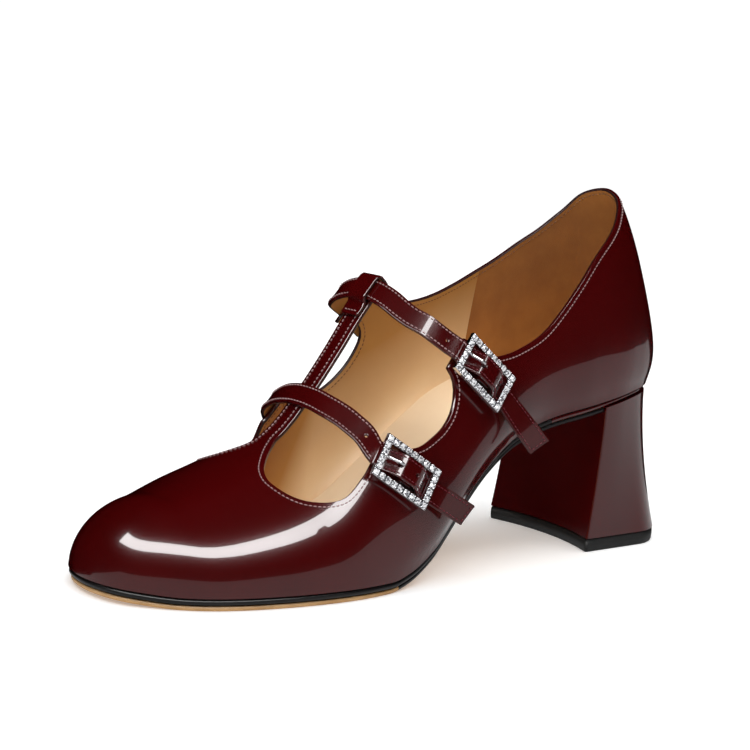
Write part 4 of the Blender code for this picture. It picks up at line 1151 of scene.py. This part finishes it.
class Course:
    """A strap's middle line with its directions, read at any length."""

    def __init__(self, centres, outs):
        tangents = normalised(np.gradient(centres, axis=0))
        outs = normalised(outs - tangents * np.sum(outs * tangents, axis=1)[:, None])
        self.centres, self.outs = centres, outs
        self.sides = np.cross(outs, tangents)
        self.run = run_of(centres)
        self.length = self.run[-1]

    def at(self, s, t, height=0.0):
        """Points at lengths s along, t across and a height above the middle layer, and directions out."""
        s, t = np.asarray(s, float), np.asarray(t, float)
        out = normalised(read_at(s, self.run, self.outs))
        side = read_at(s, self.run, self.sides)
        return read_at(s, self.run, self.centres) + side * t[..., None] + out * height, out

    def nearest(self, point):
        return self.run[int(np.argmin(np.linalg.norm(self.centres - point, axis=1)))]


def strip(name, course, width, thickness, looks, bulge, holes=(), round_end=0.0, **rest):
    """A fine strap with rounded edges and through holes at (length, radius)."""
    half = width / 2 - bulge
    ss = np.arange(0, course.length, STRAP_SPACING)
    loop = [(s, -half) for s in ss] + [(course.length - bulge, t) for t in np.linspace(-half, half, 7)]
    loop += [(s, half) for s in ss[::-1]] + [(0, t) for t in np.linspace(half, -half, 7)[1:-1]]
    loop = np.array([p for i, p in enumerate(loop) if i == 0 or p != loop[i - 1]])
    if round_end:
        loop = softened(loop, round_end)
    keep = np.linalg.norm(loop - np.roll(loop, 1, axis=0), axis=1) > 1e-5
    loop = loop[keep]
    loops, flat = [list(range(len(loop)))], [loop]
    total = len(loop)
    for s, radius in holes:
        turn = np.linspace(0, 2 * math.pi, HOLE_SIDES + 1)[:-1]
        ring = np.stack([s + radius * np.cos(turn), radius * np.sin(turn)], axis=-1)
        loops.append(list(range(total, total + len(ring))))
        flat.append(ring)
        total += len(ring)
    rings = flat[1:]
    grid = np.array([(s, t) for s in ss[1:] for t in (-half * 0.5, 0.0, half * 0.5)])
    for ring in rings:
        middle = ring.mean(axis=0)
        grid = grid[np.linalg.norm(grid - middle, axis=1) > np.linalg.norm(ring[0] - middle) + 0.0004]
    grid = grid[grid[:, 0] < course.length - 0.001]
    flat = np.vstack(flat + [grid])
    faces = np.array(triangulate(flat, loops))
    for ring in rings:
        faces = faces[~inside(flat[faces].mean(axis=1), ring)]
    top, outs = course.at(flat[:, 0], flat[:, 1], thickness / 2)
    return leather(name, top, outs, facing(faces, top, outs), thickness, looks, bulge, **rest)


def side_rows(course, offset, start, stop, height):
    """Two lines along a strap's edges."""
    s = np.arange(start, stop, 0.0008)
    return [course.at(s, np.full(len(s), t), height) for t in (-offset, offset)]


HOLES = (-0.0205, -0.0125, 0.0030)   # punched holes, along the strap from the buckle's bar
PIN_HOLE = 0.0008


def build_strap(name, course_rows, lean, inner_end, tail, low, turns):
    buckle = Buckle(course_rows, lean, low)
    centres, outs = strap_line(course_rows, lean, inner_end, tail, turns, buckle)
    course = Course(centres, outs)
    bar = course.nearest(buckle.point(0, 0, buckle.strap_over + STRAP / 2))
    holes = [(bar + place, PIN_HOLE) for place in HOLES] + [(bar + PRONG_ROOT, PRONG_HOLE / 2)]
    strip("strap_leather_" + name, course, STRAP_WIDTH, STRAP, [PATENT, EDGE, STRAP_LINING], STRAP_BULGE,
          holes, STRAP_CORNER, replaces=("strap_" + name,), slot="patent")
    reach = STRAP_WIDTH / 2 - STRAP_SEAM
    frame_start = bar - BUCKLE_LENGTH / 2 - 0.0005
    stitches("strap_stitches_" + name, side_rows(course, reach, 0.001, frame_start, STRAP / 2), THREAD_PAINTED_HIGHLIGHT)
    end = course.length - STRAP_SEAM
    rows = side_rows(course, reach, frame_start + BUCKLE_RIM + 0.001, end, STRAP / 2)
    t = np.linspace(-reach, reach, 9)
    rows.append(course.at(np.full(9, end), t, STRAP / 2))
    stitches("tail_stitches_" + name, rows, RED_THREAD)
    return buckle


def ring_tube(points, radius, sides=10, tip=1.0):
    """A round rod along a line."""
    tangents = normalised(np.gradient(points, axis=0))
    side = normalised(np.cross(tangents, np.tile(tangents[0] + (0.3, 0.2, 0.9), (len(points), 1))))
    up = np.cross(side, tangents)
    rows, faces = [], []
    for i, (p, s, u) in enumerate(zip(points, side, up)):
        size = radius * (tip if i in (0, len(points) - 1) else 1)
        for k in range(sides):
            turn = 2 * math.pi * k / sides
            rows.append(p + (s * math.cos(turn) + u * math.sin(turn)) * size)
    for i in range(len(points) - 1):
        for k in range(sides):
            j = (k + 1) % sides
            faces.append((i * sides + k, (i + 1) * sides + k, (i + 1) * sides + j, i * sides + j))
    faces.append(tuple(range(sides)))
    faces.append(tuple((len(points) - 1) * sides + k for k in reversed(range(sides))))
    return rows, faces


STONE = 0.00125          # radius of a stone
STONE_SIDES = 10
STONES_ALONG, STONES_ACROSS = 9, 6   # in a row, with both corners
LIP = 0.00032            # walls of the channel that holds the stones
WALL_SHARE, FLOOR_SHARE = 0.78, 0.35   # of the frame's height: top and bottom of the channel
CLAW = 0.00022           # radius of a claw


def build_buckle(name, buckle):
    """A silver frame with a channel, in which a row of cut stones sits, and a bar."""
    half, wide, rim = BUCKLE_LENGTH / 2, BUCKLE_WIDTH / 2, BUCKLE_RIM
    base, wall = buckle.low, buckle.low + BUCKLE_HEIGHT * WALL_SHARE
    floor = buckle.low + BUCKLE_HEIGHT * FLOOR_SHARE
    profile = ((0.0, base + 0.0002), (0.0002, base), (rim - 0.0002, base), (rim, base + 0.0002),
               (rim, wall - 0.0001), (rim - 0.0001, wall), (rim - LIP, wall), (rim - LIP, floor),
               (LIP, floor), (LIP, wall), (0.0001, wall), (0.0, wall - 0.0001))
    points, faces = [], []
    corners = ((-1, -1), (1, -1), (1, 1), (-1, 1))
    m = len(profile)
    for a, b in corners:
        for inset, height in profile:
            points.append(buckle.point(a * (half - inset), b * (wide - inset), height))
    for i in range(4):
        j = (i + 1) % 4
        for k in range(m):
            q = (k + 1) % m
            faces.append((i * m + k, j * m + k, j * m + q, i * m + q))
    reach = wide - rim / 2
    line = np.array([buckle.point(0, t, buckle.bar) for t in np.linspace(-reach, reach, 5)])
    rod, rod_faces = ring_tube(line, BAR / 2)
    faces += [tuple(len(points) + i for i in face) for face in rod_faces]
    points += rod
    frame_piece = new_piece("buckle_frame_" + name, points, faces, [SILVER],
                            replaces=("buckle_" + name,), slot="silver")
    frame_piece.data.set_sharp_from_angle(angle=math.radians(35))
    seats = [(share, side) for side in (-1, 1) for share in np.linspace(-1, 1, STONES_ALONG)]
    seats += [(side, share) for side in (-1, 1) for share in np.linspace(-1, 1, STONES_ACROSS)[1:-1]]
    seats = [(f * (half - rim / 2), s * (wide - rim / 2)) for f, s in seats]
    stones, stone_faces, claws, claw_faces = [], [], [], []
    girdle, table = wall + 0.00005, buckle.low + BUCKLE_HEIGHT + 0.00035
    for f, s in seats:
        at = len(stones)
        turn0 = (f * 7919 + s * 6271) % 1.0
        for radius, height in ((0.4, floor), (1.0, girdle), (0.93, girdle + 0.0002), (0.52, table)):
            for k in range(STONE_SIDES):
                turn = 2 * math.pi * (k + turn0) / STONE_SIDES
                r = STONE * radius
                stones.append(buckle.point(f + r * math.cos(turn), s + r * math.sin(turn), height))
        stone_faces += bands(at, 3, STONE_SIDES)
        for a, b, c, d in bands(at + 2 * STONE_SIDES, 2, STONE_SIDES):
            stone_faces += [(a, b, d), (b, c, d)]
        stone_faces.append(tuple(at + k for k in reversed(range(STONE_SIDES))))
        stone_faces.append(tuple(at + 3 * STONE_SIDES + k for k in range(STONE_SIDES)))
        for k in range(4):
            turn = math.pi / 4 + k * math.pi / 2
            r = STONE * 1.02
            claw = [buckle.point(f + share * r * math.cos(turn), s + share * r * math.sin(turn), height)
                    for share, height in ((1, floor), (1, girdle + 0.0002), (0.78, girdle + 0.0004))]
            rows, parts = ring_tube(np.array(claw), CLAW, 6, 0.8)
            claw_faces += [tuple(len(claws) + i for i in face) for face in parts]
            claws += rows
    stone_piece = new_piece("stones_" + name, stones, stone_faces, [CRYSTAL])
    stone_piece.data.shade_flat()
    new_piece("claws_" + name, claws, claw_faces, [SILVER])


def build_prong(name, buckle):
    strap_top = buckle.strap_over + STRAP
    rest = buckle.low + BUCKLE_HEIGHT + GAP + PRONG / 2
    lying = strap_top + GAP + PRONG / 2
    route = ((PRONG_ROOT, buckle.strap_over - 0.0002), (PRONG_ROOT, strap_top - 0.0004),
             (PRONG_ROOT - 0.0006, lying - 0.0003), (PRONG_ROOT - 0.0018, lying - 0.0002),
             (-0.0098, rest), (-0.0118, rest))
    line = smooth_line([buckle.point(forward, 0, height) for forward, height in route], 0.0005)
    rows, faces = ring_tube(line, PRONG / 2, 12, 0.6)
    new_piece("pin_" + name, rows, faces, [SILVER], replaces=("prong_" + name,), slot="silver")


def build_tab(name, course_rows, lean, buckle):
    leans = np.linspace(lean, lean - 0.12, 16)
    spots = on_course(course_rows, leans)
    lift = GAP + TAB / 2
    lower = surface(spots) + normals_at(spots) * lift
    outs = [list(o) for o in normals_at(spots)]
    reach = np.linalg.norm(lower - lower[0], axis=1)
    keep = (reach > 0.0012) & (reach < TAB_REACH)
    points = [p for p, k in zip(lower, keep) if k][::-1]
    outs = [o for o, k in zip(outs, keep) if k][::-1]
    high = buckle.tab_top - TAB / 2
    middle, radius = (lift + high) / 2, (high - lift) / 2
    for turn in np.linspace(-math.pi / 2, math.pi / 2, 13):
        swing, rise = -math.cos(turn), math.sin(turn)
        points.append(buckle.point(radius * swing, 0, middle + radius * rise))
        outs.append(-(buckle.forward * swing + buckle.out * rise))
    for forward in (0.0014, 0.0028):
        points.append(buckle.point(forward, 0, high))
        outs.append(-buckle.out)
    course = Course(np.array(points), np.array(outs))
    strip("tab_" + name, course, TAB_WIDTH, TAB, [EDGE, EDGE, PATENT], TAB_BULGE,
          replaces=("buckle_tab_" + name,), slot="patent")


def build_loop():
    centre = column(REAR_COURSE, COURSE, 0.0)
    per_length = along_per_length(centre)
    half = LOOP_LEATHER / 2
    rest = STRAP_LIFT + half
    over = STRAP_LIFT + STRAP + 1.5 * GAP + half
    edge = surface(t_bar_side(-1, np.array([centre])))[0]
    below = edge[2] - ridge_point(centre)[2] - WALL - GAP - half
    front, back = -STRAP_WIDTH / 2 - 1.5 * GAP - half, STRAP_WIDTH / 2 + 1.5 * GAP + half
    route = ((front - 0.0052, rest), (front - 0.0015, rest), (front + 0.0001, rest + 0.0005),
             (front + 0.0003, over - 0.0004), (front + 0.0014, over), (0.0, over + 0.0001),
             (back - 0.0013, over), (back - 0.0002, over - 0.0008), (back, (over + below) / 2),
             (back - 0.0002, below + 0.0008), (back - 0.0013, below), (0.0, below))
    points = []
    for forward, lift in route:
        along = centre - forward * per_length
        points.append(ridge_point(along) + ridge_normal(along) * lift)
    line = smooth_line(points, 0.0006)
    tangents = np.gradient(line, axis=0)
    outs = np.cross(tangents, np.array([0.0, 1.0, 0.0]))
    course = Course(line, outs)
    strip("loop_leather", course, LOOP_WIDTH, LOOP_LEATHER, [PATENT, EDGE, STRAP_LINING], LOOP_BULGE, (),
          LOOP_CORNER, replaces=("t_bar_loop",), slot="patent")
    t = np.linspace(-LOOP_WIDTH / 2 + LOOP_SEAM, LOOP_WIDTH / 2 - LOOP_SEAM, 9)
    stitches("loop_stitches", [course.at(np.full(9, LOOP_SEAM), t, LOOP_LEATHER / 2)], THREAD_PAINTED_HIGHLIGHT)


# Camera, lights and backdrop

CAMERA_TARGET = (-0.1047, 0.0, 0.05)
CAMERA_AZIMUTH, CAMERA_ELEVATION, CAMERA_ROLL = -41.27, 10.40, 4.34
CAMERA_DISTANCE = 0.698
CAMERA_LENS = 94.08
CAMERA_SHIFT = (-0.0188, 0.0607)
FLOOR_DROP = 0.0001
FLOOR_NEAR, FLOOR_FAR = -5.0, 1.2   # the floor's reach, towards the camera and away from it
FLOOR_HALF = 4.0
BACKDROP_BEND = 0.5
FLOOR_GLOW, BACKDROP_GLOW = 0.25, 1.05
CARD_RISE = -0.0002
CARD_EDGE = 0.03        # the card ends here on the inner side, so that the heel's breast stays dark
CARD_GLOW = 0.47
LAMP_GLOW = 14.0
BAND_AZIMUTHS = (-108, 16)   # ends of the long lamp that the leather mirrors, in degrees
BAND_ELEVATION, BAND_SPREAD = 36.5, 8.0
BAND_REACH = 1.5
FRONT_FROM, FRONT_POWER, FRONT_SIZE, FRONT_REACH = (-60, 40), 10, 1.6, 2.0
TOP_FROM, TOP_POWER, TOP_SPREAD = (0, 82), 3.3, 80   # seen over this many degrees


def direction(azimuth, elevation):
    a, e = math.radians(azimuth), math.radians(elevation)
    return Vector((math.sin(a) * math.cos(e), -math.cos(a) * math.cos(e), math.sin(e)))


def build_camera():
    data = bpy.data.cameras.new("camera")
    data.lens, data.sensor_width = CAMERA_LENS, 36.0
    data.shift_x, data.shift_y = CAMERA_SHIFT
    camera = bpy.data.objects.new("camera", data)
    bpy.context.scene.collection.objects.link(camera)
    back = direction(CAMERA_AZIMUTH, CAMERA_ELEVATION)
    camera.location = Vector(CAMERA_TARGET) + back * CAMERA_DISTANCE
    turn = back.to_track_quat("Z", "Y")
    camera.rotation_mode = "QUATERNION"
    camera.rotation_quaternion = turn @ Quaternion((0, 0, 1), math.radians(CAMERA_ROLL))
    bpy.context.scene.camera = camera


def lamp(name, kind, origin, power):
    """A light that shines on the shoe but isn't mirrored by it, and its settings."""
    data = bpy.data.lights.new(name, kind)
    data.energy = power
    light = bpy.data.objects.new(name, data)
    bpy.context.scene.collection.objects.link(light)
    light.rotation_euler = direction(*origin).to_track_quat("Z", "Y").to_euler()
    light.visible_glossy = False
    return light, data


def build_stage():
    """A pale floor, a white backdrop, and a grey card that the leather mirrors in the floor's place."""
    look = shader("pale_floor", Roughness=0.9, Base_Color=(0.9, 0.9, 0.9, 1), **glow(FLOOR_GLOW))[0]
    away = -direction(CAMERA_AZIMUTH, 0)
    across = Vector((-away.y, away.x, 0))
    bend = [(FLOOR_FAR + BACKDROP_BEND * math.sin(t), BACKDROP_BEND * (1 - math.cos(t)))
            for t in np.linspace(0.1, math.pi / 2, 12)]
    floor = sweep("floor", [(FLOOR_NEAR, 0.0), (FLOOR_FAR, 0.0)], away, across, look)
    floor.visible_glossy = False
    backdrop = sweep("backdrop", [(FLOOR_FAR, 0.0)] + bend, away, across,
                     glowing("white_backdrop", BACKDROP_GLOW))
    backdrop.visible_glossy = backdrop.visible_diffuse = False
    outward, along = Vector((0, 1, 0)), Vector((1, 0, 0))
    only_mirrored(sweep("mirrored_card", [(FLOOR_NEAR, CARD_RISE), (CARD_EDGE, CARD_RISE)], outward, along,
                        glowing("grey_card", CARD_GLOW)))


def lamp_band():
    """A long lamp, bent round the shoe, that is seen only where the leather mirrors it."""
    turns = np.linspace(*BAND_AZIMUTHS, 40)
    points = [Vector(CAMERA_TARGET) + direction(turn, BAND_ELEVATION + side * BAND_SPREAD) * BAND_REACH
              for turn in turns for side in (-1, 1)]
    faces = [(2 * k, 2 * k + 2, 2 * k + 3, 2 * k + 1) for k in range(len(turns) - 1)]
    only_mirrored(stage_piece("lamp_band", points, faces, glowing("lamp_glow", LAMP_GLOW)))


def only_mirrored(piece):
    """Hides a piece of the studio from all but mirrored rays."""
    piece.visible_camera = piece.visible_diffuse = piece.visible_shadow = piece.visible_transmission = False


def glow(strength):
    """Shader values of a surface that mirrors nothing and gives off white light."""
    return {"Specular_IOR_Level": 0.0, "Emission_Color": (1, 1, 1, 1), "Emission_Strength": strength}


def glowing(name, strength):
    """A black look that glows."""
    return shader(name, Base_Color=(0, 0, 0, 1), **glow(strength))[0]


def stage_piece(name, points, faces, look):
    piece = new_object(name, points, faces, [look])
    return piece


def sweep(name, rows, away, across, look):
    """A wide sheet through rows of depth and height."""
    points = []
    for depth, height in rows:
        for side in (-FLOOR_HALF, FLOOR_HALF):
            p = away * depth + across * side
            points.append((p.x, p.y, height - FLOOR_DROP))
    faces = [(2 * k, 2 * k + 1, 2 * k + 3, 2 * k + 2) for k in range(len(rows) - 1)]
    piece = stage_piece(name, points, faces, look)
    piece.data.shade_smooth()
    return piece


def build_lights():
    lamp_band()
    front, data = lamp("front_light", "AREA", FRONT_FROM, FRONT_POWER)
    data.shape, data.size, data.size_y = "RECTANGLE", FRONT_SIZE, FRONT_SIZE
    front.location = Vector(CAMERA_TARGET) + direction(*FRONT_FROM) * FRONT_REACH
    _, data = lamp("top_light", "SUN", TOP_FROM, TOP_POWER)
    data.angle = math.radians(TOP_SPREAD)
    world = bpy.data.worlds.new("room")
    bpy.context.scene.world = world
    world.use_nodes = True
    tree = world.node_tree
    tree.nodes["Background"].inputs["Color"].default_value = (1.0, 1.0, 1.0, 1)
    seen_directly = tree.nodes.new("ShaderNodeLightPath").outputs["Is Camera Ray"]
    tree.links.new(seen_directly, tree.nodes["Background"].inputs["Strength"])


build_camera()
build_stage()
build_lights()
build_upper()
build_sole()
build_heel()
for strap_name, strap_course, strap_lean, strap_inner, strap_tail, strap_low, *strap_turns in STRAPS:
    made_buckle = build_strap(strap_name, strap_course, strap_lean, strap_inner, strap_tail, strap_low,
                              strap_turns)
    build_buckle(strap_name, made_buckle)
    build_prong(strap_name, made_buckle)
    build_tab(strap_name, strap_course, strap_lean, made_buckle)
build_loop()

bpy.context.scene.view_settings.view_transform = "Standard"
